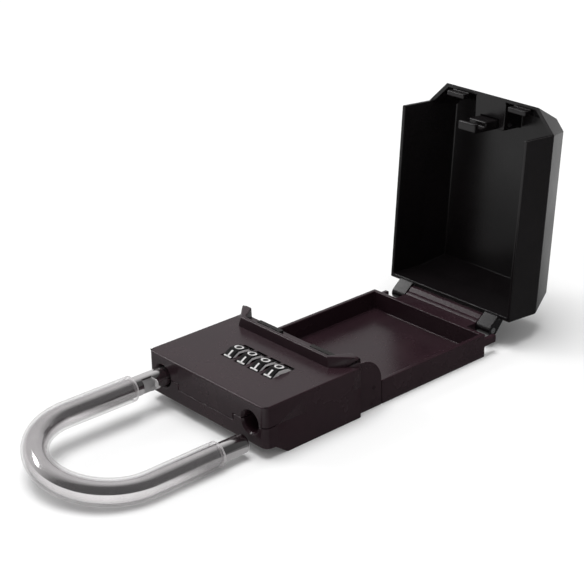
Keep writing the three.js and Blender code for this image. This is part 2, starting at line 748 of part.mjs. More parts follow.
function spindle() {
  const first = dialY(0) - DIAL_WIDTH / 2;
  const last = dialY(DIAL_COUNT - 1) + DIAL_PITCH - DIAL_WIDTH / 2 - SEAT_GAP;
  const right = -CHAMBER_RIGHT;
  const solid = solidOf(turned([
    [0, right - SPINDLE_SEAT],
    [SPINDLE_RADIUS, right - SPINDLE_SEAT],
    [SPINDLE_RADIUS, right + SEAT_GAP],
    [SPINDLE_COLLAR, right + SEAT_GAP],
    [SPINDLE_COLLAR, first - SEAT_GAP],
    [SPINDLE_RADIUS, first - SEAT_GAP],
    [SPINDLE_RADIUS, last + SEAT_GAP],
    [SPINDLE_COLLAR, last + SEAT_GAP],
    [SPINDLE_COLLAR, CHAMBER_LEFT - SEAT_GAP],
    [SPINDLE_RADIUS, CHAMBER_LEFT - SEAT_GAP],
    [SPINDLE_RADIUS, CHAMBER_LEFT + SPINDLE_SEAT],
    [0, CHAMBER_LEFT + SPINDLE_SEAT],
  ], 20));
  return solid;
}

function detentComb() {
  const x1 = SHELF_LENGTH - SEAT_GAP;
  const x0 = x1 - COMB_BASE;
  const top = SHELF_FLOOR + COMB_THICK;
  const half = COMB_FINGER / 2;
  const base = box(x0, x1, dialY(0) - half, dialY(DIAL_COUNT - 1) + half, SHELF_FLOOR, top);
  const fingers = dialIndexes().map((i) =>
    box(x1 - 0.5, x1 + COMB_REACH, dialY(i) - half, dialY(i) + half, SHELF_FLOOR, top));
  return join(base, ...fingers);
}

// Latch and its spring
function latchBolt() {
  const body = box(latchFront, latchBack, -LATCH_HALF, LATCH_HALF, latchBottom, latchTop);
  const tip = rearFace + LATCH_THROW;
  const nose = slabXZ([
    [latchBack - 1, latchBottom],
    [tip, latchBottom],
    [tip, latchTop - LATCH_BEVEL],
    [tip - LATCH_BEVEL, latchTop],
    [latchBack - 1, latchTop],
  ], -LATCH_NOSE_HALF, LATCH_NOSE_HALF);
  const middle = (latchBottom + latchTop) / 2;
  const pocket = rodX(SPRING_RADIUS + SEAT_GAP, latchFront - 1, latchBack - 2, 0, middle, 12);
  return cut(join(body, nose), pocket);
}

function latchSpring() {
  const middle = (latchBottom + latchTop) / 2;
  const x0 = latchFront - LATCH_TRAVEL;
  return rodX(SPRING_RADIUS, x0, latchBack - 2 - LATCH_TRAVEL - SEAT_GAP, 0, middle, 12);
}

// Shackle bolt with its arm, and the release slide that carries it
function shackleBolt() {
  const tip = longY - boreRadius + ROD_CLEARANCE / 2 - SEAT_GAP;
  const low = HOLE_HEIGHT - BOLT_HALF_HEIGHT;
  const high = HOLE_HEIGHT + BOLT_HALF_HEIGHT;
  const back = BOLT_X + BOLT_WIDTH;
  const end = back + BOLT_ARM;
  const arm = box(back - 1, end, SLIDE_Y, SLIDE_Y + SLIDE_WIDTH, low, low + BOLT_HALF_HEIGHT);
  const upright = box(end - BOLT_UPRIGHT, end, SLIDE_Y, SLIDE_Y + SLIDE_WIDTH, SLIDE_BOTTOM, low + 1);
  return join(box(BOLT_X, back, tip - BOLT_LENGTH, tip, low, high), arm, upright);
}

function releaseSlide() {
  const x0 = BOLT_X + BOLT_WIDTH + BOLT_ARM + SEAT_GAP;
  const buttonX = rearFace + SEAT_GAP;
  const top = SLIDE_BOTTOM + SLIDE_THICK;
  const bar = box(x0, buttonX + 1, SLIDE_Y, SLIDE_Y + SLIDE_WIDTH, SLIDE_BOTTOM, top);
  const y = SLIDE_Y + SLIDE_WIDTH / 2;
  const button = box(
    buttonX, buttonX + BUTTON_THICK,
    y - BUTTON_WIDTH / 2, y + BUTTON_WIDTH / 2,
    BUTTON_BOTTOM, BUTTON_BOTTOM + BUTTON_HEIGHT,
  );
  return join(bar, button);
}

function resetLever() {
  const face = rearFace + SEAT_GAP;
  const cam = rearInside - SEAT_GAP;
  const disc = rodX(LEVER_DISC, face, face + LEVER_THICK, 0, 0, 20);
  const half = LEVER_HANDLE_WIDTH / 2;
  const handle = box(face, face + LEVER_THICK, -half, half, 0, LEVER_HANDLE);
  const shaft = rodX(LEVER_SHAFT, cam - 1, face + 1, 0, 0, 16);
  const camDisc = rodX(LEVER_CAM, cam - LEVER_CAM_THICK, cam, 0, 0, 16);
  return join(disc, handle, shaft, camDisc);
}

function screw(seat) {
  const end = BLOCK_HEIGHT - SCREW_END_BELOW_TOP;
  const under = seat - SEAT_GAP;
  const geometry = turned([
    [0, under - SCREW_HEAD_THICK + SEAT_GAP],
    [SCREW_HEAD, under - SCREW_HEAD_THICK + SEAT_GAP],
    [SCREW_HEAD, under],
    [SCREW_SHANK, under],
    [SCREW_SHANK, end],
    [0, end],
  ], 12);
  return solidOf(geometry.rotateX(Math.PI / 2));
}

// Shackle, with its long leg's axis at the origin and the short leg to the right
class BowPath extends THREE.Curve {
  constructor(longEnd, shortEnd) {
    super();
    this.longEnd = longEnd;
    this.shortEnd = shortEnd;
  }

  getPoint(t, target = new THREE.Vector3()) {
    const radius = SHACKLE_SPACING / 2;
    const first = this.longEnd + SHACKLE_REACH;
    const bow = Math.PI * radius;
    const last = this.shortEnd + SHACKLE_REACH;
    const s = t * (first + bow + last);
    if (s < first) return target.set(this.longEnd - s, 0, 0);
    if (s < first + bow) {
      const a = (s - first) / radius;
      return target.set(-SHACKLE_REACH - radius * Math.sin(a), -radius + radius * Math.cos(a), 0);
    }
    return target.set(-SHACKLE_REACH + (s - first - bow), -SHACKLE_SPACING, 0);
  }
}

function alongBow(section, longEnd, shortEnd, steps) {
  const extrudePath = new BowPath(longEnd, shortEnd);
  return solidOf(new THREE.ExtrudeGeometry(section, { steps, extrudePath, bevelEnabled: false, curveSegments: 8 }));
}

function roundSection(radius, bore, sides) {
  const ring = (r) => [...Array(sides).keys()].map((i) => {
    const a = (i / sides) * 2 * Math.PI;
    return new THREE.Vector2(r * Math.cos(a), r * Math.sin(a));
  });
  const shape = new THREE.Shape(ring(radius));
  if (bore > 0) shape.holes.push(new THREE.Path(ring(bore).reverse()));
  return shape;
}

function ringCutter(inner, outer, x0, x1) {
  const geometry = turned([[inner, x0], [outer, x0], [outer, x1], [inner, x1], [inner, x0]], 20);
  return solidOf(geometry.rotateZ(-Math.PI / 2));
}

function shackleRod() {
  const tip = -SHORT_LEG_GAP;
  const rod = alongBow(roundSection(ROD_RADIUS, 0, 16), LONG_LEG_INSIDE, tip, 42);
  const grooveStart = COLLAR_START - SEAT_GAP;
  const grooveEnd = COLLAR_START + COLLAR_WIDTH + SEAT_GAP;
  const groove = ringCutter(ROD_RADIUS - COLLAR_GROOVE, ROD_RADIUS + 1, grooveStart, grooveEnd);
  const radius = ROD_RADIUS + 0.1;
  const floor = -ROD_RADIUS + NOTCH_DEPTH;
  const middle = -NOTCH_START + NOTCH_LENGTH - radius;
  const notch = join(
    box(-NOTCH_START, middle, -ROD_RADIUS - 1, floor, -ROD_RADIUS - 1, ROD_RADIUS + 1),
    rodY(radius, middle, -ROD_RADIUS - 1, floor, 0, 24),
  );
  const bevel = turned([
    [ROD_RADIUS - TIP_CHAMFER, 0],
    [ROD_RADIUS + TIP_CHAMFER, 0],
    [ROD_RADIUS + TIP_CHAMFER, -2 * TIP_CHAMFER],
    [ROD_RADIUS - TIP_CHAMFER, 0],
  ], 16);
  bevel.rotateZ(-Math.PI / 2).translate(tip + 0.01, -SHACKLE_SPACING, 0);
  return cut(rod, groove, notch, solidOf(bevel));
}

function shackleSleeve() {
  const section = roundSection(SLEEVE_RADIUS, SLEEVE_RADIUS - SLEEVE_WALL, 16);
  return alongBow(section, -SLEEVE_END, -SLEEVE_END, 30);
}

function shackleCollar() {
  const bore = ROD_RADIUS - COLLAR_GROOVE + SEAT_GAP;
  const ring = ringCutter(bore, COLLAR_RADIUS, COLLAR_START, COLLAR_START + COLLAR_WIDTH);
  const half = COLLAR_SLOT / 2;
  return cut(ring, box(COLLAR_START - 1, COLLAR_START + COLLAR_WIDTH + 1, -half, half, -COLLAR_RADIUS - 1, 0));
}

// Materials
const satinBlack = new THREE.MeshStandardMaterial({ color: 0x1b191b, roughness: 0.45, metalness: 0.3 });
const faceBlack = new THREE.MeshStandardMaterial({ color: 0x222022, roughness: 0.42, metalness: 0.3 });
const lidBlack = new THREE.MeshStandardMaterial({ color: 0x191819, roughness: 0.4, metalness: 0.3 });
const brightSteel = new THREE.MeshStandardMaterial({ color: 0xc9cbcc, roughness: 0.22, metalness: 1 });
const clearVinyl = new THREE.MeshStandardMaterial({
  color: 0xe9ecec, roughness: 0.12, metalness: 0, transparent: true, opacity: 0.3,
});
const springSteel = new THREE.MeshStandardMaterial({ color: 0x9da0a3, roughness: 0.35, metalness: 1 });
const zinc = new THREE.MeshStandardMaterial({ color: 0x8c8d8e, roughness: 0.5, metalness: 0.8 });
const wheelBlack = new THREE.MeshStandardMaterial({ color: 0x111111, roughness: 0.35, metalness: 0 });
const padRubber = new THREE.MeshStandardMaterial({ color: 0x131313, roughness: 0.85, metalness: 0 });

function piece(parent, name, solid, material) {
  const mesh = new THREE.Mesh(geometryOf(solid), material);
  mesh.name = name;
  parent.add(mesh);
  return mesh;
}

function buildLock(lockbox) {
  const lock = new THREE.Group();
  lockbox.add(lock);
  piece(lock, "back_body", backBody(), satinBlack);
  piece(lock, "lock_cover", lockCover(), faceBlack);
  piece(lock, "side_cheek", sideCheek(), satinBlack);
  piece(lock, "rest_pad_left", restPad(1), padRubber);
  piece(lock, "rest_pad_right", restPad(-1), padRubber);
  piece(lock, "detent_spring", detentComb(), springSteel);
  piece(lock, "latch_bolt", latchBolt(), zinc);
  piece(lock, "latch_spring", latchSpring(), springSteel);
  piece(lock, "shackle_bolt", shackleBolt(), zinc);
  piece(lock, "release_slide", releaseSlide(), zinc);
  piece(lock, "reset_lever", resetLever(), zinc).position.set(0, LEVER_Y, LEVER_HEIGHT);
  piece(lock, "dial_spindle", spindle(), springSteel).position.set(DIAL_X, 0, dialZ);
  for (const i of dialIndexes()) {
    const dial = new THREE.Group();
    dial.position.set(DIAL_X, dialY(i), dialZ);
    lock.add(dial);
    piece(dial, `dial_wheel_${i + 1}`, dialWheel(), wheelBlack);
    piece(dial, `dial_tumbler_${i + 1}`, tumbler(), zinc);
  }
  for (const s of screws) {
    piece(lock, s.name, screw(s.seat), springSteel).position.set(s.x, s.y, 0);
  }
  const half = KNUCKLE_HALF + SEAT_GAP + LUG_WIDTH;
  const pin = rodY(PIN_RADIUS, 0, -half, half, 0, 16);
  piece(lock, "hinge_pin", pin, springSteel).position.set(hingeX, 0, HINGE_HEIGHT);
}

function buildLid(lockbox) {
  const hinge = new THREE.Group();
  hinge.position.set(hingeX, 0, HINGE_HEIGHT);
  hinge.rotation.y = THREE.MathUtils.degToRad(LID_OPEN_DEGREES);
  const closed = new THREE.Group();
  closed.position.set(-hingeX, 0, -HINGE_HEIGHT);
  hinge.add(closed);
  lockbox.add(hinge);
  piece(closed, "lid_shell", lidShell(), lidBlack);
  piece(closed, "lid_catch", lidCatch(), lidBlack);
  const pin = rodY(CATCH_PIN_RADIUS, catchPinX(), -BOSS_HALF, BOSS_HALF, catchPinZ(), 12);
  piece(closed, "catch_pin", pin, springSteel);
}

function buildShackle(lockbox) {
  const carrier = new THREE.Group();
  carrier.position.set(0, longY, HOLE_HEIGHT);
  lockbox.add(carrier);
  piece(carrier, "shackle_collar", shackleCollar(), springSteel);
  const swing = new THREE.Group();
  swing.rotation.x = THREE.MathUtils.degToRad(SHACKLE_DROP_DEGREES);
  carrier.add(swing);
  piece(swing, "shackle_rod", shackleRod(), brightSteel);
  piece(swing, "shackle_sleeve", shackleSleeve(), clearVinyl);
}

// The origin is the middle of the flat back, which the box lies on
const lockbox = new THREE.Group();
lockbox.position.x = -backMiddle;
buildLock(lockbox);
buildLid(lockbox);
buildShackle(lockbox);

export default lockbox;
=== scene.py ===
"""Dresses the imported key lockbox.

Softened castings, a polished shackle, its clear sleeve, numbered dials and a pale studio.

Lengths in the classes are millimetres in the box's own measure, where X counts from the block's end face.
The module turns them into metres in the row frame, whose origin is the middle of the flat back.
"""
from __future__ import annotations

import json
import logging
import math
from contextlib import contextmanager
from dataclasses import dataclass
from enum import Enum
from typing import Iterator, Sequence

import bmesh
import bpy
import numpy as np
from mathutils import Matrix

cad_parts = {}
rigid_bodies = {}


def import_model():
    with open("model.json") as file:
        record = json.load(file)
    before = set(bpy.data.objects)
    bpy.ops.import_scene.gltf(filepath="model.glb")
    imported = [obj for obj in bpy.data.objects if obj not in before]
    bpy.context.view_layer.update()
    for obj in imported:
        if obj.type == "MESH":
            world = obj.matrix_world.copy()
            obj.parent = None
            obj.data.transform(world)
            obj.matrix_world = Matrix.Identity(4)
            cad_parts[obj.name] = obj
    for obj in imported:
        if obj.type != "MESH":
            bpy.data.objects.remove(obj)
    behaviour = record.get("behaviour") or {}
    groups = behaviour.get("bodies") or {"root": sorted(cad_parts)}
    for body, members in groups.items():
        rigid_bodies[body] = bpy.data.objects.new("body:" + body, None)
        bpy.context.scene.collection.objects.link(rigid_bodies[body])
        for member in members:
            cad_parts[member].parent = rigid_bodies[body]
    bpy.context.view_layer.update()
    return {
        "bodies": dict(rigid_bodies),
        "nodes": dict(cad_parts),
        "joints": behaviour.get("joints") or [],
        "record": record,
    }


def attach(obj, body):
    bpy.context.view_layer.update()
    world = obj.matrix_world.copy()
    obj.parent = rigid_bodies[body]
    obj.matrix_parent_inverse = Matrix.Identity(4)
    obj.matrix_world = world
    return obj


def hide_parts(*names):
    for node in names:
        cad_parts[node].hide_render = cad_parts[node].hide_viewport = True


LOG = logging.getLogger("lockbox")

Array = np.ndarray
Span = tuple[float, float]
BACK_MIDDLE_MM = 77.25
MM = 0.001
INF = math.inf
ANYWHERE: Span = (-INF, INF)
PATTERN_SPAN: Span = (0.3, 0.7)
FRAME: dict = {}


def in_frame(points_mm: Array) -> Array:
    """Turns box millimetres into row-frame metres.

    Args:
        points_mm: points of shape (..., 3), X counted from the end face.

    Returns:
        The same points in metres, X counted from the middle of the back.
    """
    return (np.asarray(points_mm, float) - np.array([BACK_MIDDLE_MM, 0.0, 0.0])) * MM


class Slot(Enum):
    """The record's material slots, by which the carried CAD nodes take their finish."""

    CASTING = "black_casting"
    FACE = "black_face"
    LID = "black_lid"
    RUBBER = "black_rubber"
    DIAL = "black_dial"
    BRIGHT = "bright_steel"
    SPRING = "spring_steel"
    ZINC = "bare_zinc"
    VINYL = "clear_vinyl"


class Body(Enum):
    """The rigid bodies that pieces ride on."""

    LOCK = "lock_body"
    LID = "lid"
    SHACKLE = "shackle"


class Nodes:
    """A short way to lay out nodes in one tree."""

    def __init__(self, tree: bpy.types.NodeTree) -> None:
        """Empties the tree.

        Args:
            tree: a material's or the world's nodes.
        """
        self.tree = tree
        self.tree.nodes.clear()

    def link(self, source: bpy.types.NodeSocket, target: bpy.types.NodeSocket) -> None:
        """Joins two sockets."""
        self.tree.links.new(source, target)

    def add(self, kind: str, **values: float) -> bpy.types.Node:
        """Adds a node and sets its named inputs.

        Args:
            kind: the node's type name.
            values: input names, with spaces as underscores, and their values.

        Returns:
            The new node.
        """
        node = self.tree.nodes.new(kind)
        for name, value in values.items():
            node.inputs[name.replace("_", " ")].default_value = value
        return node

    def ramp(
        self, source: bpy.types.NodeSocket, place: Span, value: Span
    ) -> bpy.types.NodeSocket:
        """Turns one range of a value into another by a straight ramp.

        Args:
            source: the value's socket.
            place: where the ramp starts and ends.
            value: the result before and after it.

        Returns:
            The result's socket.
        """
        node = self.add(
            "ShaderNodeMapRange", From_Min=place[0], From_Max=place[1], To_Min=value[0], To_Max=value[1]
        )
        self.link(source, node.inputs["Value"])
        return node.outputs["Result"]

    def join(
        self, kind: str, first: bpy.types.NodeSocket | float, second: bpy.types.NodeSocket | float = 0.0
    ) -> bpy.types.NodeSocket:
        """Joins two values with one operation.

        Args:
            kind: the operation's name.
            first: a socket or a number.
            second: a socket or a number.

        Returns:
            The result's socket.
        """
        node = self.add("ShaderNodeMath")
        node.operation = kind
        for target, term in zip(node.inputs, (first, second)):
            if isinstance(term, bpy.types.NodeSocket):
                self.link(term, target)
            else:
                target.default_value = term
        return node.outputs[0]

    def seen(self, path: bpy.types.Node) -> bpy.types.NodeSocket:
        """Gives 1 for rays that the camera, a reflection or a clear piece sends, and 0 for those that carry light.

        Args:
            path: the tree's light path node.

        Returns:
            The result's socket.
        """
        bounced = self.join("MAXIMUM", path.outputs["Is Glossy Ray"], path.outputs["Is Transmission Ray"])
        return self.join("MAXIMUM", path.outputs["Is Camera Ray"], bounced)


class NodeSheet(Nodes):
    """The nodes of one new material."""

    def __init__(self, name: str) -> None:
        """Starts an empty material with an output and a principled shader.

        Args:
            name: the material's name.
        """
        self.material = bpy.data.materials.new(name)
        self.material.use_nodes = True
        super().__init__(self.material.node_tree)
        self.output = self.add("ShaderNodeOutputMaterial")
        self.shader = self.add("ShaderNodeBsdfPrincipled")
        self.link(self.shader.outputs["BSDF"], self.output.inputs["Surface"])

    def fix(self, **values: float) -> None:
        """Sets the shader's own inputs, whose names have spaces as underscores."""
        for name, value in values.items():
            self.shader.inputs[name.replace("_", " ")].default_value = value

    def feed(self, source: bpy.types.NodeSocket, name: str) -> None:
        """Leads a pattern to the shader's input of that name."""
        self.link(source, self.shader.inputs[name])

    def object_place(self) -> bpy.types.NodeSocket:
        """Gives the Object coordinate socket."""
        return self.add("ShaderNodeTexCoord").outputs["Object"]

    def noise(self, scale: float, detail: float = 3.0, rough: float = 0.5) -> bpy.types.NodeSocket:
        """Adds a noise pattern on Object coordinates.

        Args:
            scale: pattern repeats per metre.
            detail: octaves.
            rough: how strong the finer octaves are.

        Returns:
            The pattern's socket.
        """
        node = self.add("ShaderNodeTexNoise", Scale=scale, Detail=detail, Roughness=rough)
        self.link(self.object_place(), node.inputs["Vector"])
        return node.outputs["Fac"]

    def two_tones(
        self, source: bpy.types.NodeSocket, dark: Sequence[float], light: Sequence[float]
    ) -> bpy.types.NodeSocket:
        """Blends two colours by a pattern.

        Args:
            source: the pattern.
            dark: linear colour at its low end.
            light: linear colour at its high end.

        Returns:
            The colour's socket.
        """
        node = self.add("ShaderNodeValToRGB")
        for stop, place, colour in zip(node.color_ramp.elements, PATTERN_SPAN, (dark, light)):
            stop.position = place
            stop.color = (*colour, 1.0)
        self.link(source, node.inputs["Fac"])
        return node.outputs["Color"]

    def relief(self, source: bpy.types.NodeSocket, height_mm: float, strength: float) -> None:
        """Turns a pattern into surface relief.

        Args:
            source: the pattern.
            height_mm: the relief's height.
            strength: how much of it shows.
        """
        node = self.add("ShaderNodeBump", Strength=strength, Distance=height_mm * MM)
        self.link(source, node.inputs["Height"])
        self.feed(node.outputs["Normal"], "Normal")


@dataclass(frozen=True)
class Coating:
    """A satin black coat: two close tones, a fine skin texture and slow gloss changes."""

    name: str
    dark: tuple[float, float, float]
    light: tuple[float, float, float]
    roughness: Span
    grain_per_m: float = 2600.0
    grain_mm: float = 0.02
    grain_strength: float = 0.25
    specular: float = 0.35
    patches_per_m: float = 38.0

    def make(self) -> bpy.types.Material:
        """Builds the material.

        Returns:
            The coat as a node material.
        """
        sheet = NodeSheet(self.name)
        slow = sheet.noise(self.patches_per_m, 4.0, 0.6)
        fine = sheet.noise(self.grain_per_m, 2.0)
        sheet.feed(sheet.two_tones(slow, self.dark, self.light), "Base Color")
        sheet.feed(sheet.ramp(slow, PATTERN_SPAN, self.roughness), "Roughness")
        sheet.fix(Specular_IOR_Level=self.specular)
        sheet.relief(fine, self.grain_mm, self.grain_strength)
        return sheet.material


@dataclass(frozen=True)
class Steel:
    """Bare metal with fine drawn lines along X and small gloss changes."""

    name: str
    colour: tuple[float, float, float]
    roughness: Span
    lines_per_m: float = 900.0
    stretch: float = 0.03
    lines_mm: float = 0.004
    lines_strength: float = 0.15
    patches_per_m: float = 60.0
    dull_share: float = 0.86

    def make(self) -> bpy.types.Material:
        """Builds the material.

        Returns:
            The metal as a node material.
        """
        sheet = NodeSheet(self.name)
        mapping = sheet.add("ShaderNodeMapping")
        mapping.inputs["Scale"].default_value = (self.stretch, 1.0, 1.0)
        sheet.link(sheet.object_place(), mapping.inputs["Vector"])
        lines = sheet.add("ShaderNodeTexNoise", Scale=self.lines_per_m, Detail=3.0)
        sheet.link(mapping.outputs["Vector"], lines.inputs["Vector"])
        slow = sheet.noise(self.patches_per_m)
        dull = tuple(c * self.dull_share for c in self.colour)
        sheet.feed(sheet.two_tones(slow, dull, self.colour), "Base Color")
        sheet.feed(sheet.ramp(lines.outputs["Fac"], PATTERN_SPAN, self.roughness), "Roughness")
        sheet.fix(Metallic=1.0)
        sheet.relief(lines.outputs["Fac"], self.lines_mm, self.lines_strength)
        return sheet.material


@dataclass(frozen=True)
class ClearTube:
    """Clear glossy vinyl: mostly see-through, a little milky, with faint flow marks."""

    name: str
    tint: tuple[float, float, float]
    alpha: float
    rim_alpha: float
    roughness: float
    rim_blend: float = 0.18
    marks_per_m: float = 220.0

    def make(self) -> bpy.types.Material:
        """Builds the material.

        Returns:
            The vinyl as a node material.
        """
        sheet = NodeSheet(self.name)
        flow = sheet.noise(self.marks_per_m)
        sheet.fix(Base_Color=(*self.tint, 1.0), Specular_IOR_Level=0.5)
        sheet.feed(sheet.ramp(flow, PATTERN_SPAN, (self.roughness, self.roughness * 1.8)), "Roughness")
        rim = sheet.add("ShaderNodeLayerWeight", Blend=self.rim_blend)
        sheet.feed(sheet.ramp(rim.outputs["Facing"], (0.0, 1.0), (self.alpha, self.rim_alpha)), "Alpha")
        sheet.relief(flow, 0.05, 0.15)
        return sheet.material


@dataclass(frozen=True)
class Ink:
    """White filling paint in the dial digits, slightly uneven."""

    name: str
    dark: tuple[float, float, float]
    light: tuple[float, float, float]
    patches_per_m: float = 1500.0

    def make(self) -> bpy.types.Material:
        """Builds the material.

        Returns:
            The paint as a node material.
        """
        sheet = NodeSheet(self.name)
        patches = sheet.noise(self.patches_per_m)
        sheet.feed(sheet.two_tones(patches, self.dark, self.light), "Base Color")
        sheet.fix(Roughness=0.5)
        sheet.relief(patches, 0.01, 0.2)
        return sheet.material


class Finishes:
    """All finishes of the box, each made once."""

    def __init__(self) -> None:
        """Makes every material."""
        self.casting = Coating(
            "satin_coat_case", (0.0188, 0.0094, 0.0126), (0.0254, 0.0132, 0.0170), (0.22, 0.3), specular=0.3,
        ).make()
        self.lid = Coating(
            "satin_coat_lid", (0.0050, 0.0042, 0.0046), (0.0075, 0.0062, 0.0068), (0.2, 0.27),
            grain_strength=0.1, specular=0.34,
        ).make()
        self.rubber = Coating(
            "pad_rubber", (0.01, 0.009, 0.009), (0.018, 0.016, 0.016), (0.5, 0.62), grain_mm=0.05,
        ).make()
        self.dial = Coating(
            "dial_coat", (0.0032, 0.0028, 0.003), (0.005, 0.0044, 0.0047), (0.4, 0.5), grain_per_m=4200.0,
            specular=0.1,
        ).make()
        self.wheel_side = Coating(
            "pale_wheel_side", (0.88, 0.85, 0.86), (0.94, 0.92, 0.92), (0.35, 0.5), grain_strength=0.1,
        ).make()
        self.bright = Steel("polished_steel", (0.9, 0.875, 0.88), (0.09, 0.15), lines_strength=0.05).make()
        self.milled = Steel("milled_steel", (0.68, 0.67, 0.67), (0.42, 0.5), lines_mm=0.006).make()
        self.spring = Steel("plain_steel", (0.5, 0.5, 0.51), (0.25, 0.38)).make()
        self.zinc = Steel("bare_casting_metal", (0.4, 0.4, 0.41), (0.4, 0.6), stretch=1.0, lines_mm=0.03).make()
        self.vinyl = ClearTube("clear_vinyl", (0.36, 0.34, 0.35), 0.03, 0.72, 0.1).make()
        self.vinyl_end = ClearTube("cut_vinyl", (0.8, 0.77, 0.78), 0.45, 0.7, 0.3).make()
        self.ink = Ink("digit_paint", (0.52, 0.51, 0.51), (0.64, 0.63, 0.63)).make()


def add_object(name: str, data: bpy.types.ID) -> bpy.types.Object:
    """Makes an object and links it to the scene.

    Args:
        name: the object's name.
        data: its mesh, curve, camera or lamp.

    Returns:
        The object.
    """
    thing = bpy.data.objects.new(name, data)
    bpy.context.scene.collection.objects.link(thing)
    return thing


@contextmanager
def editing(mesh: bpy.types.Mesh) -> Iterator[bmesh.types.BMesh]:
    """Opens a mesh for editing and writes it back at the end.

    Args:
        mesh: the mesh.

    Yields:
        Its editable copy.
    """
    work = bmesh.new()
    work.from_mesh(mesh)
    yield work
    work.to_mesh(mesh)
    work.free()


def build_object(name: str, points: Array, faces: Sequence[Sequence[int]], smooth: bool = True) -> bpy.types.Object:
    """Puts points and faces into a new object at the origin.

    Args:
        name: the object's name.
        points: row-frame metres of shape (n, 3).
        faces: vertex indices, outward.
        smooth: whether faces shade smoothly.

    Returns:
        The linked object.
    """
    mesh = bpy.data.meshes.new(name)
    mesh.from_pydata(np.asarray(points, float).tolist(), [], [list(map(int, f)) for f in faces])
    mesh.update()
    mesh.polygons.foreach_set("use_smooth", np.full(len(mesh.polygons), smooth))
    return add_object(name, mesh)


def tube_faces(rows: int, columns: int) -> Array:
    """Quads over a grid of points, row by row, whose last column joins the first.

    Args:
        rows: number of rows.
        columns: points in a row.

    Returns:
        Vertex indices of shape (quads, 4).
    """
    r, c = np.meshgrid(np.arange(rows - 1), np.arange(columns), indexing="ij")
    right = (c + 1) % columns
    quads = np.stack([r * columns + c, r * columns + right, (r + 1) * columns + right, (r + 1) * columns + c], -1)
    return quads.reshape(-1, 4)


def ring_faces(rows: int, columns: int) -> Array:
    """Quads over a grid whose last row joins the first too, so that it closes on itself."""
    return tube_faces(rows + 1, columns) % (rows * columns)


def capped_faces(rows: int, columns: int) -> list[list[int]]:
    """Faces of a tube over a grid of points, closed by two fans whose tips follow the grid's points.

    Args:
        rows: number of rows.
        columns: points in a row.

    Returns:
        Vertex indices: the tube's quads, then the fan at the first row and the fan at the last.
    """
    ring = np.arange(columns)
    after = (ring + 1) % columns
    last = (rows - 1) * columns
    tip = np.full(columns, rows * columns)
    fans = [np.stack([tip, ring, after], -1), np.stack([tip + 1, last + after, last + ring], -1)]
    return tube_faces(rows, columns).tolist() + np.concatenate(fans).tolist()


def recalculated(thing: bpy.types.Object, merge_mm: float = 0.0002) -> bpy.types.Object:
    """Merges doubled points and turns the faces outward.

    Args:
        thing: the object to mend.
        merge_mm: distance under which points merge.

    Returns:
        The same object.
    """
    with editing(thing.data) as work:
        bmesh.ops.remove_doubles(work, verts=work.verts, dist=merge_mm * MM)
        bmesh.ops.dissolve_degenerate(work, edges=work.edges, dist=1e-8)
        bmesh.ops.recalc_face_normals(work, faces=work.faces)
    thing.data.update()
    return thing


def dress(thing: bpy.types.Object, body: str, slot: Slot, *materials: bpy.types.Material) -> bpy.types.Object:
    """Gives a piece its materials and its body.

    Args:
        thing: the piece.
        body: the body that carries it.
        slot: the record's material slot; not used.
        materials: one or more materials, in face index order.

    Returns:
        The same piece.
    """
    for material in materials:
        thing.data.materials.append(material)
    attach(thing, body)
    LOG.info("piece %s: %d faces", thing.name, len(thing.data.polygons))
    return thing


@dataclass(frozen=True)
class Zone:
    """A box whose edges all get one weight. Limits are box millimetres, and side counts from the middle plane."""

    weight: float
    x: Span = ANYWHERE
    y: Span = ANYWHERE
    z: Span = ANYWHERE
    side: Span = ANYWHERE

    def holds(self, middles: Array) -> Array:
        """Tells which edges lie in the box.

        Args:
            middles: edge middles in box millimetres.

        Returns:
            True or False each.
        """
        x, y, z = middles.T
        limits = ((x, self.x), (y, self.y), (z, self.z), (np.abs(y), self.side))
        return np.all([(value > low) & (value < high) for value, (low, high) in limits], axis=0)


COVER_ZONES = (
    # The outside: top, sides and both ends.
    Zone(0.4, z=(24.6, INF)),
    Zone(0.4, side=(36.0, INF)),
    Zone(0.4, x=(-INF, 0.6)),
    Zone(0.4, x=(53.0, INF)),
    # The dial face's rim, at the end and at the sides.
    Zone(0.6, x=(-INF, 5.0), z=(24.6, 25.4)),
    Zone(0.6, side=(35.0, INF), z=(24.6, 25.4)),
    # The ridge's top.
    Zone(1.0, x=(-INF, 46.4), z=(29.5, INF)),
    # The dial windows, and the ridge's foot.
    Zone(0.0, x=(15.3, 39.3), y=(-22.0, 16.0), z=(24.0, INF)),
    Zone(0.0, x=(43.0, INF), side=(-INF, 39.5), z=(24.7, 25.3)),
    # The seam to the lower casting at its two heights, and where a bar bridges it.
    Zone(0.1, z=(14.4, 15.6)),
    Zone(0.1, z=(11.7, 12.7)),
    Zone(0.0, x=(6.0, INF), side=(39.0, INF), z=(14.4, 15.6)),
    Zone(0.0, x=(6.0, INF), side=(39.0, INF), z=(11.7, 12.7)),
)
BACK_ZONES = (
    # Inside the block.
    Zone(0.0, x=(1.0, 53.8), side=(-INF, 24.0), z=(0.5, INF)),
    # The seam to the upper casting, wider at the toe, and where a bar bridges it.
    Zone(0.35, z=(14.6, 15.4)),
    Zone(0.8, x=(-INF, 4.0), z=(14.6, 15.4)),
    Zone(0.8, x=(-INF, 4.0), z=(11.55, 12.15)),
    Zone(0.0, x=(6.0, INF), side=(39.0, INF), z=(14.6, 15.4)),
)
# Where the bevelled corners meet at the lid's free end.
LID_ZONES = (Zone(0.2, x=(176.0, INF), side=(28.0, INF), z=(96.0, INF)),)


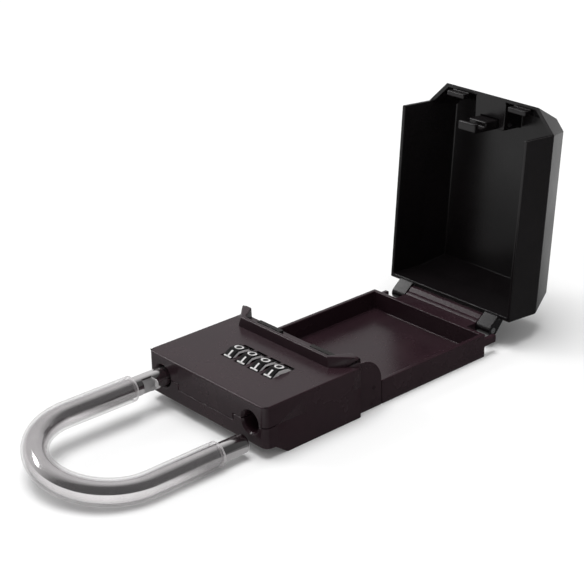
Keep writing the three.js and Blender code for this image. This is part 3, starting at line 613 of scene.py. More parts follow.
@dataclass
class SoftenedCasting:
    """A casting carried over from the solid, with its edges rounded as a moulded coat rounds them.

    The solid's loose triangles are merged, flat runs become single faces, and each sharp edge gets a radius of
    edge_mm times its weight: that of the last zone that holds it, or else the casting's own.
    """

    node: str
    name: str
    edge_mm: float
    segments: int = 3
    sharp_deg: float = 19.0
    flat_deg: float = 3.0
    flat_mm: float = 3.0
    merge_mm: float = 0.05
    least_weight: float = 0.04
    room_share: float = 0.45
    weight: float = 1.0
    zones: tuple[Zone, ...] = ()
    cut_y: tuple[float, ...] = ()
    cut_x: tuple[float, ...] = ()
    cut_z: tuple[float, ...] = ()

    def make(self) -> bpy.types.Object:
        """Builds the softened copy and lets it stand for the node.

        Returns:
            The piece, without materials.
        """
        mesh = FRAME["nodes"][self.node].data.copy()
        mesh.name = self.name
        mesh.materials.clear()
        with editing(mesh) as work:
            bmesh.ops.remove_doubles(work, verts=work.verts, dist=self.merge_mm * MM)
            bmesh.ops.dissolve_degenerate(work, edges=work.edges, dist=1e-6)
            bmesh.ops.dissolve_limit(work, angle_limit=math.radians(1.0), verts=work.verts, edges=work.edges)
            self._split(work)
            self._weigh(work)
        if "custom_normal" in mesh.attributes:
            mesh.attributes.remove(mesh.attributes["custom_normal"])
        mesh.polygons.foreach_set("use_smooth", np.ones(len(mesh.polygons), bool))
        thing = add_object(self.name, mesh)
        self._round(thing)
        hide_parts(self.node)
        return thing

    def _weigh(self, work: bmesh.types.BMesh) -> None:
        """Writes each sharp edge's weight, no more than it has room for, and marks it sharp.

        Args:
            work: the merged mesh.
        """
        layer = work.edges.layers.float.new("bevel_weight_edge")
        edges = [e for e in work.edges if len(e.link_faces) == 2 and self._is_corner(e)]
        if not edges:
            return
        ends = np.array([[e.verts[0].co, e.verts[1].co] for e in edges], float)
        middles = ends.mean(1) / MM + np.array([BACK_MIDDLE_MM, 0.0, 0.0])
        room = np.array([self._room(e) for e in edges]) / (self.edge_mm * MM)
        weights = np.full(len(edges), self.weight)
        for zone in self.zones:
            weights[zone.holds(middles)] = zone.weight
        for edge, weight in zip(edges, np.minimum(weights, room)):
            edge[layer] = float(weight) if weight > self.least_weight else 0.0
            edge.smooth = weight > self.least_weight

    def _split(self, work: bmesh.types.BMesh) -> None:
        """Cuts the flats through their holes, so that no face wraps round one.

        Args:
            work: the merged mesh.
        """
        for axis, values in ((1, self.cut_y), (0, self.cut_x), (2, self.cut_z)):
            normal = np.eye(3)[axis]
            for value in values:
                parts = work.verts[:] + work.edges[:] + work.faces[:]
                point = in_frame(value * normal).tolist()
                bmesh.ops.bisect_plane(work, geom=parts, dist=2e-6, plane_co=point, plane_no=normal.tolist())

    def _is_corner(self, edge: bmesh.types.BMEdge) -> bool:
        """Tells a real corner from the facets of a round: a clear angle, or a slight one between two wide flats.

        Args:
            edge: an edge between two faces.

        Returns:
            Whether the edge is a corner.
        """
        angle = math.degrees(edge.calc_face_angle(0.0))
        if angle > self.sharp_deg:
            return True
        return angle > self.flat_deg and self._width(edge) > self.flat_mm * MM

    def _width(self, edge: bmesh.types.BMEdge) -> float:
        """Gives how wide the narrower of an edge's two faces is, as its area over the edge's length, in metres."""
        return min(f.calc_area() for f in edge.link_faces) / max(edge.calc_length(), 1e-7)

    def _room(self, edge: bmesh.types.BMEdge) -> float:
        """Gives the largest radius that an edge's faces and its side edges leave room for.

        Args:
            edge: a sharp edge.

        Returns:
            The radius in metres: room_share of the narrower face, or of the shortest edge that leaves it sideways.
        """
        run = (edge.verts[1].co - edge.verts[0].co).normalized()
        sides = [1.0]
        for vert in edge.verts:
            for other in vert.link_edges:
                if other is not edge:
                    lean = 1.0 - (other.verts[1].co - other.verts[0].co).normalized().dot(run) ** 2
                    sides.append(other.calc_length() * math.sqrt(max(lean, 0.0)) if lean > 0.1 else 1.0)
        return self.room_share * min(sides + [2 * self._narrow(f) for f in edge.link_faces])

    @staticmethod
    def _narrow(face: bmesh.types.BMFace) -> float:
        """Gives half a face's mean width: its area over its rim's length."""
        return face.calc_area() / max(face.calc_perimeter(), 1e-7)

    def _round(self, thing: bpy.types.Object) -> None:
        """Adds the edge radius and area-weighted shading.

        Args:
            thing: the copied casting.
        """
        bevel = thing.modifiers.new("edge_radius", "BEVEL")
        bevel.limit_method = "WEIGHT"
        bevel.width = self.edge_mm * MM
        bevel.segments = self.segments
        bevel.use_clamp_overlap = False
        bevel.miter_outer = "MITER_ARC"
        weighted = thing.modifiers.new("flat_shading", "WEIGHTED_NORMAL")
        weighted.keep_sharp = True
        weighted.weight = 60


@dataclass
class Castings:
    """The block's two castings, the side plate, the rest pads and the small things on the castings' sides."""

    finishes: Finishes
    half_width: float = 40.0
    seam: float = 15.0
    strip_start: float = 6.0
    strip_end: float = 56.2
    seam_gap: float = 0.15
    toe_end: float = 7.0
    ridge_middle: float = 51.0
    cheek_face: float = -37.4
    rivets: tuple[tuple[float, float, float], ...] = ((67.0, 10.2, 0.9), (65.9, 2.4, 0.7))

    def build(self) -> None:
        """Builds the block, the tray and what is fixed to them."""
        self._cover()
        self._back()
        cheek = SoftenedCasting("side_cheek", "soft_cheek", 0.6).make()
        dress(cheek, Body.LOCK.value, Slot.CASTING, self.finishes.casting)
        for name, side in (("left", 1.0), ("right", -1.0)):
            dress(self._strip(name, side), Body.LOCK.value, Slot.CASTING, self.finishes.casting)
        dress(self._rivets(), Body.LOCK.value, Slot.CASTING, self.finishes.casting)
        for side in ("left", "right"):
            pad = SoftenedCasting(f"rest_pad_{side}", f"soft_pad_{side}", 0.3).make()
            dress(pad, Body.LOCK.value, Slot.RUBBER, self.finishes.rubber)

    def _cover(self) -> None:
        """Builds the upper casting with the dial face and the ridge."""
        cover = SoftenedCasting(
            "lock_cover", "upper_casting", 1.5, segments=4, weight=0.0, zones=COVER_ZONES,
            cut_y=(-17.5, -8.5, 0.5, 9.5, -30.0, 30.0), cut_x=(self.toe_end, 27.3, self.ridge_middle),
        ).make()
        dress(cover, Body.LOCK.value, Slot.FACE, self.finishes.casting)

    def _back(self) -> None:
        """Builds the lower casting with the tray and the hinge knuckle."""
        back = SoftenedCasting(
            "back_body", "lower_casting", 0.5, zones=BACK_ZONES,
            cut_y=(-33.0, -30.0, -18.0, -15.0, 0.0, 8.0, 15.0, 30.0, 33.0),
            cut_x=(self.toe_end, 30.0, self.ridge_middle, 100.0),
        ).make()
        dress(back, Body.LOCK.value, Slot.CASTING, self.finishes.casting)

    def _strip(self, name: str, side: float) -> bpy.types.Object:
        """Fills the side seam flush, where the coat bridges it: a thin bar with X from strip_start to strip_end.

        Args:
            name: which side, for the piece's name.
            side: 1 for the far side face, -1 for the near one.

        Returns:
            The bar.
        """
        x = np.array([self.strip_start, self.strip_end])
        y = side * np.array([self.half_width - 1.0, self.half_width])
        z = self.seam + np.array([-self.seam_gap, self.seam_gap])
        points = np.stack(np.meshgrid(x, y, z, indexing="ij"), -1).reshape(-1, 3)
        faces = [[0, 1, 3, 2], [4, 6, 7, 5], [0, 4, 5, 1], [2, 3, 7, 6], [0, 2, 6, 4], [1, 5, 7, 3]]
        return recalculated(build_object(f"seam_bridge_{name}", in_frame(points), faces, smooth=False))

    def _rivets(self) -> bpy.types.Object:
        """Builds the side plate's rivet heads as low domes with a pin's pit.

        At the share s of a rivet's radius R the surface is at y = face - h(s) R, with h from a table.

        Returns:
            The rivet heads.
        """
        a = np.linspace(0.0, 2 * math.pi, 24, endpoint=False)
        share = np.array([1.0, 0.97, 0.85, 0.65, 0.42, 0.34, 0.3])
        height = np.array([-0.1, 0.05, 0.3, 0.42, 0.46, 0.3, 0.12])
        points: list[Array] = []
        faces: list[list[int]] = []
        for x0, z0, radius in self.rivets:
            base = sum(len(p) for p in points)
            ring = radius * share[:, None]
            x = x0 + ring * np.cos(a)
            z = z0 + ring * np.sin(a)
            y = np.repeat((self.cheek_face - height * radius)[:, None], len(a), 1)
            points.append(np.concatenate([np.stack([x, y, z], -1).reshape(-1, 3), [
                [x0, self.cheek_face + 0.1 * radius, z0], [x0, self.cheek_face - 0.12 * radius, z0],
            ]]))
            faces += [[v + base for v in face] for face in capped_faces(len(share), len(a))]
        return recalculated(build_object("rivet_heads", in_frame(np.concatenate(points)), faces))


@dataclass
class Lid:
    """The deep lid with its catch."""

    finishes: Finishes

    def build(self) -> None:
        """Builds the lid's shell and the catch."""
        shell = SoftenedCasting(
            "lid_shell", "lid_casting", 0.6, zones=LID_ZONES, cut_y=(0.0,), cut_z=(30.0, 60.0, 90.0, 101.5),
        ).make()
        dress(shell, Body.LID.value, Slot.LID, self.finishes.lid)
        catch = SoftenedCasting("lid_catch", "soft_catch", 0.8).make()
        dress(catch, Body.LID.value, Slot.LID, self.finishes.lid)


@dataclass
class Shackle:
    """The bright rod with its locking notch, and the clear sleeve round it."""

    finishes: Finishes
    rod_radius: float = 4.5
    spacing: float = 60.0
    reach: float = 52.8
    long_inside: float = 21.0
    short_gap: float = 3.2
    axis_y: float = 30.0
    axis_z: float = 15.0
    drop_deg: float = 8.5
    notch_start: float = -13.6
    notch_end: float = -6.0
    notch_depth: float = 2.5
    sleeve_radius: float = 6.0
    sleeve_wall: float = 1.0
    sleeve_end: float = 17.5
    groove: tuple[float, float, float] = (14.0, 16.6, 1.3)
    sides: int = 72

    def centre(self, s: Array, start: float) -> tuple[Array, Array]:
        """Follows the U: straight from the long leg's end, half a circle, and straight back.

        Args:
            s: lengths along the centre line, from start.
            start: X of the long leg's end.

        Returns:
            Points in the shackle's own plane (long leg on the origin axis), and the outward direction.
        """
        radius = self.spacing / 2
        first = start + self.reach
        turn = np.clip((s - first) / radius, 0.0, math.pi)
        ahead = np.minimum(s, first)
        back = np.maximum(s - first - math.pi * radius, 0.0)
        x = start - ahead - radius * np.sin(turn) + back
        y = -radius + radius * np.cos(turn)
        outward = np.stack([-np.sin(turn), np.cos(turn), np.zeros_like(turn)], -1)
        return np.stack([x, y, np.zeros_like(x)], -1), outward

    def placed(self, points: Array) -> Array:
        """Swings plane points down about the long leg and moves them to the block.

        Args:
            points: points in the shackle's own plane, millimetres.

        Returns:
            Row-frame metres.
        """
        a = math.radians(self.drop_deg)
        y = points[..., 1] * math.cos(a) - points[..., 2] * math.sin(a)
        z = points[..., 1] * math.sin(a) + points[..., 2] * math.cos(a)
        return in_frame(np.stack([points[..., 0], y + self.axis_y, z + self.axis_z], -1))

    def _length(self, start: float, end: float) -> float:
        """Gives the centre line's length between the two legs' ends."""
        return start + self.reach + math.pi * self.spacing / 2 + self.reach + end

    def _tube(self, s: Array, radii: Array, start: float) -> Array:
        """Carries a round section along the U: c(s) + r(s, a) (cos a outward + sin a up).

        Args:
            s: lengths along the centre line, one a ring.
            radii: radii of shape (rings, sides).
            start: X of the long leg's end.

        Returns:
            Points of shape (rings, sides, 3) in the shackle's plane.
        """
        c, outward = self.centre(s, start)
        a = np.linspace(0.0, 2 * math.pi, radii.shape[1], endpoint=False)
        up = np.array([0.0, 0.0, 1.0])
        return (
            c[:, None, :]
            + radii[..., None] * (np.cos(a)[None, :, None] * outward[:, None, :] + np.sin(a)[None, :, None] * up)
        )

    def _rod_stations(self, total: float) -> Array:
        """Spaces the rod's rings: even over the whole, closer at the notch, the groove and both ends.

        Args:
            total: the centre line's length.

        Returns:
            Rising lengths along the centre line.
        """
        chamfer = np.array([0.0, 0.25, 0.6, 1.0, 1.1])
        stations = [np.linspace(0, total, 260), chamfer, total - chamfer]
        stations.append(self.long_inside - np.linspace(self.notch_start - 0.6, self.notch_end + 0.8, 90))
        for edge in (*self.groove[:2], self.notch_start):
            at = self.long_inside - edge
            stations.append(np.array([at - 0.02, at + 0.02]))
        s = np.unique(np.round(np.concatenate(stations), 4))
        return s[(s >= 0) & (s <= total)]

    def _rod_radii(self, s: Array, total: float) -> tuple[Array, Array]:
        """Works out the rod's radius over length and angle.

        It is R, less the depth in the groove. Over the notch it is flat / cos(a), up to where a cylinder across
        the leg ends the cut. At both ends it is drawn in by a quarter circle of 1 mm.

        Args:
            s: the rings' lengths along the centre line.
            total: the centre line's length.

        Returns:
            Radii of shape (rings, sides), and which of them are milled.
        """
        lo, hi, depth = self.groove
        a = np.linspace(0.0, 2 * math.pi, self.sides, endpoint=False)[None, :]
        x = (self.long_inside - s)[:, None]
        on_leg = s[:, None] < self.long_inside + self.reach
        r = np.full((len(s), self.sides), self.rod_radius)
        r = np.where(on_leg & (x > lo) & (x < hi), self.rod_radius - depth, r)
        flat = self.rod_radius - self.notch_depth
        end = self.rod_radius + 0.1
        reach = self.notch_end - end + np.sqrt(np.maximum(end**2 - (r * np.sin(a)) ** 2, 0.0))
        away = np.maximum(-np.cos(a), 1e-6)
        cut = np.where(-np.cos(a) > 0, np.minimum(flat / away, r), r)
        r = np.where(on_leg & (x >= self.notch_start) & (x <= reach), cut, r)
        near_end = np.clip(np.minimum(s, total - s), 0, 1)[:, None]
        r = np.minimum(r, self.rod_radius - 1.0 + np.sqrt(np.clip(1 - (1 - near_end) ** 2, 0, 1)))
        milled = (r < self.rod_radius - 0.05) & (x > self.notch_start - 0.1) & (x < self.notch_end + 0.2) & on_leg
        return r, milled

    def rod(self) -> bpy.types.Object:
        """Builds the rod: its radius is cut flat over the notch and drawn in at the collar groove and both ends.

        Returns:
            The rod, whose notch is milled (material index 1).
        """
        total = self._length(self.long_inside, -self.short_gap)
        s = self._rod_stations(total)
        r, milled = self._rod_radii(s, total)
        points = self._tube(s, r, self.long_inside)
        ends = [points[0].mean(0), points[-1].mean(0)]
        faces = capped_faces(len(s), self.sides)
        thing = build_object("polished_rod", self.placed(np.concatenate([points.reshape(-1, 3), ends])), faces)
        quads = (milled[:-1] | milled[1:]).ravel()
        marks = np.zeros(len(faces), np.int32)
        marks[: quads.size] = quads
        thing.data.polygons.foreach_set("material_index", marks)
        thing = recalculated(thing)
        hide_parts("shackle_rod")
        return thing

    def sleeve(self) -> bpy.types.Object:
        """Builds the clear tube: an outer and an inner surface joined by rounded ends.

        Returns:
            The sleeve.
        """
        start = -self.sleeve_end
        total = self._length(start, start)
        lip = self.sleeve_wall / 2
        t = np.linspace(-math.pi / 2, math.pi / 2, 7)
        s = np.linspace(lip, total - lip, 220)
        mid = self.sleeve_radius - lip
        profile_s = np.concatenate([
            s,
            total - lip + lip * np.cos(t[::-1])[1:-1],
            s[::-1],
            lip - lip * np.cos(t)[1:-1],
        ])
        profile_r = np.concatenate([
            np.full(len(s), mid + lip),
            mid + lip * np.sin(t[::-1])[1:-1],
            np.full(len(s), mid - lip),
            mid + lip * np.sin(t)[1:-1],
        ])
        radii = np.repeat(profile_r[:, None], self.sides, 1)
        points = self._tube(profile_s, radii, start)
        rows = len(profile_s)
        faces = ring_faces(rows, self.sides).tolist()
        thing = build_object("clear_sleeve", self.placed(points.reshape(-1, 3)), faces)
        row = np.repeat(np.arange(rows), self.sides)
        count = len(s)
        arc = len(t) - 2
        ends = ((row >= count - 1) & (row < count + arc)) | (row >= 2 * count + arc - 1)
        thing.data.polygons.foreach_set("material_index", ends.astype(np.int32))
        thing = recalculated(thing)
        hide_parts("shackle_sleeve")
        return thing

    def build(self) -> None:
        """Builds the rod and the sleeve."""
        dress(self.rod(), Body.SHACKLE.value, Slot.BRIGHT, self.finishes.bright, self.finishes.milled)
        dress(self.sleeve(), Body.SHACKLE.value, Slot.VINYL, self.finishes.vinyl, self.finishes.vinyl_end)


@dataclass
class Dials:
    """Four wheels with ten digit flats each, pale side rings and raised white digits."""

    finishes: Finishes
    count: int = 4
    pitch: float = 9.0
    offset: float = -4.0
    axis_x: float = 27.3
    axis_z: float = 18.0
    radius: float = 9.5
    width: float = 6.0
    bore: float = 6.3
    flats: int = 10
    ridge: float = 0.12
    digit_height: float = 4.1
    digit_width: float = 4.7
    digit_depth: float = 0.06
    pale_rings: tuple[float, ...] = (2.3, 1.5, 1.5, 1.5)
    sides: int = 240
    slices: int = 14
    first_deg: float = -6.0
    shoulder: float = 0.45
    roundness: float = 0.45
    bead_width: float = 0.25
    digit_root: float = 0.1
    foot_bar: Span = (0.46, 0.12)

    def middle(self, index: int) -> float:
        """Gives a wheel's middle in Y."""
        return self.offset + (index - (self.count - 1) / 2) * self.pitch

    def rim(self, a: Array) -> Array:
        """Gives the wheel's radius at an angle: nearly round flats between low rounded ridges.

        A flat is at R cos(step / 2) / cos(off), blended with the round R, and each ridge adds a bell curve.

        Args:
            a: angles from straight up, towards the end face.

        Returns:
            Radii in millimetres.
        """
        step = 2 * math.pi / self.flats
        off = (a - math.radians(self.first_deg) + step / 2) % step - step / 2
        flat = self.radius * math.cos(step / 2) / np.cos(off)
        blended = (1 - self.roundness) * flat + self.roundness * self.radius
        bead = self.ridge * np.exp(-(((step / 2 - np.abs(off)) * self.radius) / self.bead_width) ** 2)
        return np.minimum(blended, self.radius) - self.ridge + bead

    def _about_axis(self, radii: Array, a: Array, y: Array) -> Array:
        """Turns radii, angles from straight up and places along the axis into box-millimetre points."""
        return np.stack([self.axis_x - radii * np.sin(a), y, self.axis_z + radii * np.cos(a)], -1)

    def wheel(self, index: int) -> bpy.types.Object:
        """Builds a wheel: a rim with rounded shoulders, two side faces and the bore.

        Args:
            index: which wheel.

        Returns:
            The wheel, whose sides carry a pale ring (material index 1) under the rim.
        """
        half = self.width / 2
        t = np.linspace(0, math.pi / 2, 5)
        sideways = self.shoulder * (1 - np.cos(t))
        across = np.concatenate([[-half, -half], -half + sideways, (half - sideways)[::-1], [half, half]])
        rounding = self.shoulder * (1 - np.sin(t))
        pale = self.pale_rings[index]
        inset = np.concatenate([[np.inf, pale], rounding, rounding[::-1], [pale, np.inf]])
        a = np.linspace(0, 2 * math.pi, self.sides, endpoint=False)
        radii = np.maximum(self.rim(a)[None, :] - inset[:, None], self.bore)
        rows = len(across)
        y = np.repeat((self.middle(index) + across)[:, None], self.sides, 1)
        points = self._about_axis(radii, a, y).reshape(-1, 3)
        faces = ring_faces(rows, self.sides).tolist()
        thing = build_object(f"numbered_wheel_{index + 1}", in_frame(points), faces)
        row = np.repeat(np.arange(rows), self.sides)
        rings = (row == 1) | (row == rows - 3)
        plates = (row < 2) | (row > rows - 4)
        thing.data.polygons.foreach_set("material_index", rings.astype(np.int32))
        thing.data.polygons.foreach_set("use_smooth", ~plates)
        with editing(thing.data) as work:
            bmesh.ops.recalc_face_normals(work, faces=work.faces)
        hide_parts(f"dial_wheel_{index + 1}")
        return thing

    def digit_points(self, character: str, turn: float, index: int) -> tuple[Array, list[list[int]]]:
        """Lays one digit on its flat: letter height runs round the rim, letter width along the axis.

        Args:
            character: the digit.
            turn: the flat's angle from straight up, towards the end face.
            index: which wheel.

        Returns:
            Box-millimetre points and faces.
        """
        curve = bpy.data.curves.new("digit", "FONT")
        curve.body = character
        curve.align_x = "CENTER"
        curve.align_y = "CENTER"
        curve.size = 1.0
        curve.extrude = 0.5
        curve.resolution_u = 6
        holder = add_object("digit", curve)
        bpy.context.view_layer.update()
        mesh = bpy.data.meshes.new_from_object(holder.evaluated_get(bpy.context.evaluated_depsgraph_get()))
        self._slice(mesh, character == "1")
        co = np.zeros(len(mesh.vertices) * 3)
        mesh.vertices.foreach_get("co", co)
        co = co.reshape(-1, 3)
        faces = [list(p.vertices) for p in mesh.polygons]
        bpy.data.objects.remove(holder)
        bpy.data.curves.remove(curve)
        bpy.data.meshes.remove(mesh)
        low, high = co.min(0), co.max(0)
        u = (co[:, 0] - (low[0] + high[0]) / 2) * self.digit_width / (high[0] - low[0])
        v = (co[:, 1] - (low[1] + high[1]) / 2) * (self.digit_height / (high[1] - low[1]))
        a = turn - v / self.radius
        r = self.rim(a) + np.where(co[:, 2] > 0, self.digit_depth, -self.digit_root)
        return self._about_axis(r, a, self.middle(index) - u), faces

    def _slice(self, mesh: bpy.types.Mesh, footed: bool) -> None:
        """Cuts a flat digit across its height, so that its strokes can follow the round rim.

        Args:
            mesh: the digit, upright in its own plane.
            footed: whether the digit stands on a foot bar.
        """
        with editing(mesh) as work:
            bmesh.ops.remove_doubles(work, verts=work.verts, dist=1e-5)
            if footed:
                middle = sum(v.co.x for v in work.verts) / len(work.verts)
                floor = min(v.co.y for v in work.verts)
                bar = bmesh.ops.create_cube(work, size=1.0)["verts"]
                bmesh.ops.scale(work, vec=(*self.foot_bar, 1.01), verts=bar)
                bmesh.ops.translate(work, vec=(middle, floor + self.foot_bar[1] / 2, 0.0), verts=bar)
            heights = [v.co.y for v in work.verts]
            for level in np.linspace(min(heights), max(heights), self.slices)[1:-1]:
                parts = work.verts[:] + work.edges[:] + work.faces[:]
                point = (0.0, float(level), 0.0)
                bmesh.ops.bisect_plane(work, geom=parts, dist=1e-6, plane_co=point, plane_no=(0.0, 1.0, 0.0))
            bmesh.ops.triangulate(work, faces=work.faces)

    def numerals(self, index: int) -> bpy.types.Object:
        """Builds a wheel's ten digits as one thin piece.

        Args:
            index: which wheel.

        Returns:
            The digits.
        """
        points: list[Array] = []
        faces: list[list[int]] = []
        count = 0
        for number in range(self.flats):
            turn = math.radians(self.first_deg) + number * 2 * math.pi / self.flats
            some, theirs = self.digit_points(str(number), turn, index)
            points.append(some)
            faces += [[v + count for v in face] for face in theirs]
            count += len(some)
        place = in_frame(np.concatenate(points))
        return recalculated(build_object(f"digits_{index + 1}", place, faces, smooth=False))

    def build(self) -> None:
        """Builds the four wheels and their digits."""
        for index in range(self.count):
            body = f"dial_{index + 1}"
            dress(self.wheel(index), body, Slot.DIAL, self.finishes.dial, self.finishes.wheel_side)
            dress(self.numerals(index), body, Slot.DIAL, self.finishes.ink)


@dataclass
class Studio:
    """A white floor that keeps the shadow, soft lamps and the camera of the photograph.

    A brightness of 1 is white. Places on the floor and of the lamps are row-frame metres.
    """

    sky_back: float = 0.64
    sky_front: float = 0.06
    sky_axis: tuple[float, float, float] = (0.35, 0.94, 0.0)
    sky_fade: Span = (-0.1, 0.6)
    strip_light: float = 14.0
    strip_place: float = 0.7
    strip_rim: Span = (0.03, 0.05)
    strip_side: Span = (-0.12, 0.0)
    strip_foot: Span = (0.5, 0.58)
    world_light: float = 0.42
    floor_half: float = 6.0
    floor_lift: float = 0.04
    # In reflections the floor carries painted shade: dim in front of the box, and grey under and round it, where
    # the box shades it.
    floor_front: float = 0.12
    floor_block: float = 0.36
    front_fade: Span = (-0.04, -0.02)
    left_fade: Span = (-0.09, -0.07)
    block_fade: Span = (-0.118, -0.1)
    right_fade: Span = (0.085, 0.115)
    aim: tuple[float, float, float] = (0.0, 0.0, 0.04)
    sensor_mm: float = 36.0
    focal_px: float = 1587.11
    image_px: float = 584.0
    turn_vector: tuple[float, float, float] = (1.8792077857410694, -0.7347802634774956, 0.4570666593632323)
    shift_vector: tuple[float, float, float] = (-37.89155236157118, 60.32481177029754, 701.1481136266433)

    def rotation(self) -> Array:
        """Turns the fitted rotation vector into a matrix, by R = I + sin(t) K + (1 - cos(t)) K K.

        Returns:
            Rows of camera right, down and forward.
        """
        vector = np.array(self.turn_vector)
        angle = float(np.linalg.norm(vector))
        k = vector / angle
        cross = np.array([[0, -k[2], k[1]], [k[2], 0, -k[0]], [-k[1], k[0], 0]])
        return np.eye(3) + math.sin(angle) * cross + (1 - math.cos(angle)) * cross @ cross

    @staticmethod
    def _stand(thing: bpy.types.Object, axes: Array, place: Sequence[float]) -> None:
        """Turns and moves a camera or a lamp.

        Args:
            thing: the object.
            axes: its right, up and backward directions, as columns.
            place: where it stands, metres.
        """
        matrix = np.eye(4)
        matrix[:3, :3] = axes
        matrix[:3, 3] = place
        thing.matrix_world = Matrix(matrix.tolist())

    def camera(self) -> None:
        """Places the camera where the fit puts it."""
        rows = self.rotation()
        eye = -rows.T @ np.array(self.shift_vector)
        lens = bpy.data.cameras.new("view")
        lens.sensor_fit = "HORIZONTAL"
        lens.sensor_width = self.sensor_mm
        lens.lens = self.focal_px / self.image_px * self.sensor_mm
        lens.clip_start = 0.01
        lens.clip_end = 50.0
        thing = add_object("view", lens)
        self._stand(thing, np.stack([rows[0], -rows[1], -rows[2]], 1), in_frame(eye))
        bpy.context.scene.camera = thing

    def floor(self) -> None:
        """Lays the floor: a pale surface, lifted a little to white for the camera, and glowing in reflections with
        painted shade.
        """
        half = self.floor_half
        edges = np.array([[-half, -half, 0], [half, -half, 0], [half, half, 0], [-half, half, 0]])
        thing = build_object("floor", edges, [[0, 1, 2, 3]], smooth=False)
        sheet = NodeSheet("pale_floor")
        sheet.fix(Base_Color=(0.8, 0.8, 0.8, 1.0), Roughness=0.9, Specular_IOR_Level=0.0)
        path = sheet.add("ShaderNodeLightPath")
        glow = sheet.add("ShaderNodeEmission")
        sheet.link(sheet.join("MULTIPLY", sheet.seen(path), self.floor_lift), glow.inputs["Strength"])
        total = sheet.add("ShaderNodeAddShader")
        sheet.link(sheet.shader.outputs["BSDF"], total.inputs[0])
        sheet.link(glow.outputs["Emission"], total.inputs[1])
        # In reflections the floor is a glow, white behind and left, with painted shade in front and round the box
        # in place of its lit colour.
        mirrored = sheet.add("ShaderNodeEmission")
        sheet.link(self._across(sheet), mirrored.inputs["Strength"])
        choice = sheet.add("ShaderNodeMixShader")
        sheet.link(path.outputs["Is Glossy Ray"], choice.inputs["Fac"])
        sheet.link(total.outputs[0], choice.inputs[1])
        sheet.link(mirrored.outputs["Emission"], choice.inputs[2])
        sheet.link(choice.outputs[0], sheet.output.inputs["Surface"])
        thing.data.materials.append(sheet.material)

    def _across(self, sheet: NodeSheet) -> bpy.types.NodeSocket:
        """Gives the floor's brightness in reflections: white behind and left, with painted shade that is grey under
        the block and dim in front.

        Args:
            sheet: the floor's material.

        Returns:
            The brightness socket.
        """
        split = sheet.add("ShaderNodeSeparateXYZ")
        sheet.link(sheet.object_place(), split.inputs[0])
        x, y = split.outputs["X"], split.outputs["Y"]
        front = sheet.ramp(y, self.front_fade, (self.floor_front, 1.0))
        left = sheet.ramp(x, self.left_fade, (1.0, self.floor_front))
        block = sheet.ramp(x, self.block_fade, (1.0, self.floor_block))
        right = sheet.ramp(x, self.right_fade, (self.floor_block, 1.0))
        near = sheet.join("MAXIMUM", front, left)
        under = sheet.join("MAXIMUM", block, right)
        return sheet.join("MINIMUM", near, under)

    def world(self) -> None:
        """Sets the surroundings: white for the camera, shaded for reflections, a soft grey for light."""
        world = bpy.data.worlds.new("studio")
        bpy.context.scene.world = world
        world.use_nodes = True
        sheet = Nodes(world.node_tree)
        path = sheet.add("ShaderNodeLightPath")
        soft = sheet.add("ShaderNodeBackground", Color=(1.0, 1.0, 1.0, 1.0), Strength=self.world_light)
        white = sheet.add("ShaderNodeBackground", Color=(1.0, 1.0, 1.0, 1.0))
        sheet.link(self._sky(sheet, path), white.inputs["Strength"])
        mix = sheet.add("ShaderNodeMixShader")
        sheet.link(sheet.seen(path), mix.inputs["Fac"])
        sheet.link(soft.outputs[0], mix.inputs[1])
        sheet.link(white.outputs[0], mix.inputs[2])
        sheet.link(mix.outputs[0], sheet.add("ShaderNodeOutputWorld").inputs["Surface"])

    def _sky(self, sheet: Nodes, path: bpy.types.Node) -> bpy.types.NodeSocket:
        """Makes the seen surroundings.

        They are white to the camera, and in reflections bright behind, fading to dark in front.

        Args:
            sheet: the world's nodes.
            path: its light path node.

        Returns:
            The brightness socket.
        """
        place = sheet.add("ShaderNodeTexCoord").outputs["Generated"]
        side = sheet.add("ShaderNodeVectorMath")
        side.operation = "DOT_PRODUCT"
        side.inputs[1].default_value = self.sky_axis
        sheet.link(place, side.inputs[0])
        behind = sheet.ramp(side.outputs["Value"], self.sky_fade, (self.sky_front, self.sky_back))
        bright = sheet.join("MAXIMUM", behind, self._strip(sheet, place))
        return sheet.join("MAXIMUM", bright, path.outputs["Is Camera Ray"])

    def _strip(self, sheet: Nodes, place: bpy.types.NodeSocket) -> bpy.types.NodeSocket:
        """Makes the tall strip light at the back left, which draws the bright lines on edges that face the shackle.

        Args:
            sheet: the world's nodes.
            place: the socket of the direction looked in.

        Returns:
            The brightness socket.
        """
        split = sheet.add("ShaderNodeSeparateXYZ")
        sheet.link(place, split.inputs[0])
        away = sheet.join("ABSOLUTE", sheet.join("SUBTRACT", split.outputs["Y"], self.strip_place))
        across = sheet.ramp(away, self.strip_rim, (1.0, 0.0))
        left = sheet.ramp(split.outputs["X"], self.strip_side, (1.0, 0.0))
        above = sheet.ramp(split.outputs["Z"], self.strip_foot, (0.0, 1.0))
        shape = sheet.join("MULTIPLY", sheet.join("MULTIPLY", across, left), above)
        return sheet.join("MULTIPLY", shape, self.strip_light)

    def lamp(self, name: str, place: Sequence[float], size: float, watts: float) -> None:
        """Hangs one soft square lamp, which reflections don't show.

        Args:
            name: the lamp's name.
            place: where it hangs, metres.
            size: its side, metres.
            watts: its power.
        """
        light = bpy.data.lights.new(name, "AREA")
        light.shape = "SQUARE"
        light.size = size
        light.energy = watts
        thing = add_object(name, light)
        thing.visible_glossy = False
        ahead = np.array(self.aim) - np.array(place)
        ahead /= np.linalg.norm(ahead)
        side = np.cross(ahead, [0.0, 0.0, 1.0])
        side /= np.linalg.norm(side)
        self._stand(thing, np.stack([side, np.cross(side, ahead), -ahead], 1), place)

    def build(self) -> None:
        """Builds the whole studio."""
        bpy.context.scene.view_settings.view_transform = "Standard"
        self.camera()
        self.floor()
        self.world()
        self.lamp("key", (-0.25, 0.3, 4.25), 2.7, 168.0)
        self.lamp("edge", (-1.8, 3.0, 2.4), 1.0, 20.0)


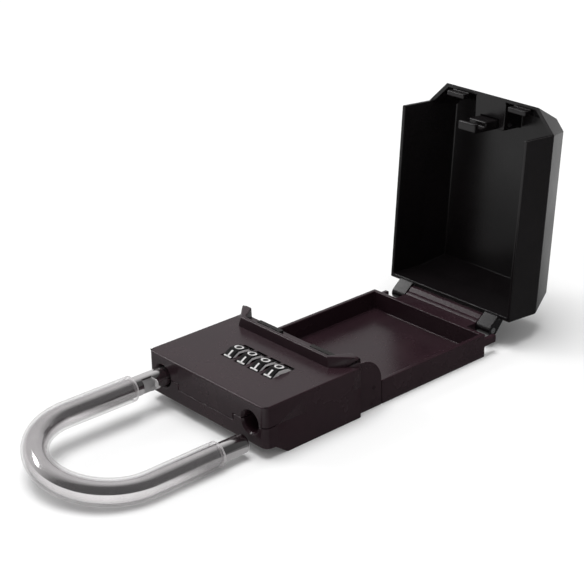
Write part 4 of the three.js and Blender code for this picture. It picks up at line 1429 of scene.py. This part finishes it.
def dress_carried_nodes(finishes: Finishes) -> None:
    """Gives each CAD node that stays in view its node material.

    Args:
        finishes: the made materials.
    """
    by_slot = {
        Slot.CASTING.value: finishes.casting,
        Slot.FACE.value: finishes.casting,
        Slot.LID.value: finishes.lid,
        Slot.RUBBER.value: finishes.rubber,
        Slot.DIAL.value: finishes.dial,
        Slot.BRIGHT.value: finishes.bright,
        Slot.SPRING.value: finishes.spring,
        Slot.ZINC.value: finishes.zinc,
        Slot.VINYL.value: finishes.vinyl,
    }
    slots = {s["node"]: s["material_slot"] for s in FRAME["record"]["subparts"]}
    for name, thing in FRAME["nodes"].items():
        thing.data.materials.clear()
        thing.data.materials.append(by_slot[slots[name]])


def main() -> None:
    """Loads the frame and builds every sub-assembly."""
    logging.basicConfig(level=logging.INFO, format="%(name)s: %(message)s")
    FRAME.update(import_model())
    finishes = Finishes()
    Studio().build()
    dress_carried_nodes(finishes)
    Castings(finishes).build()
    Lid(finishes).build()
    Shackle(finishes).build()
    Dials(finishes).build()


if __name__ == "__main__":
    main()
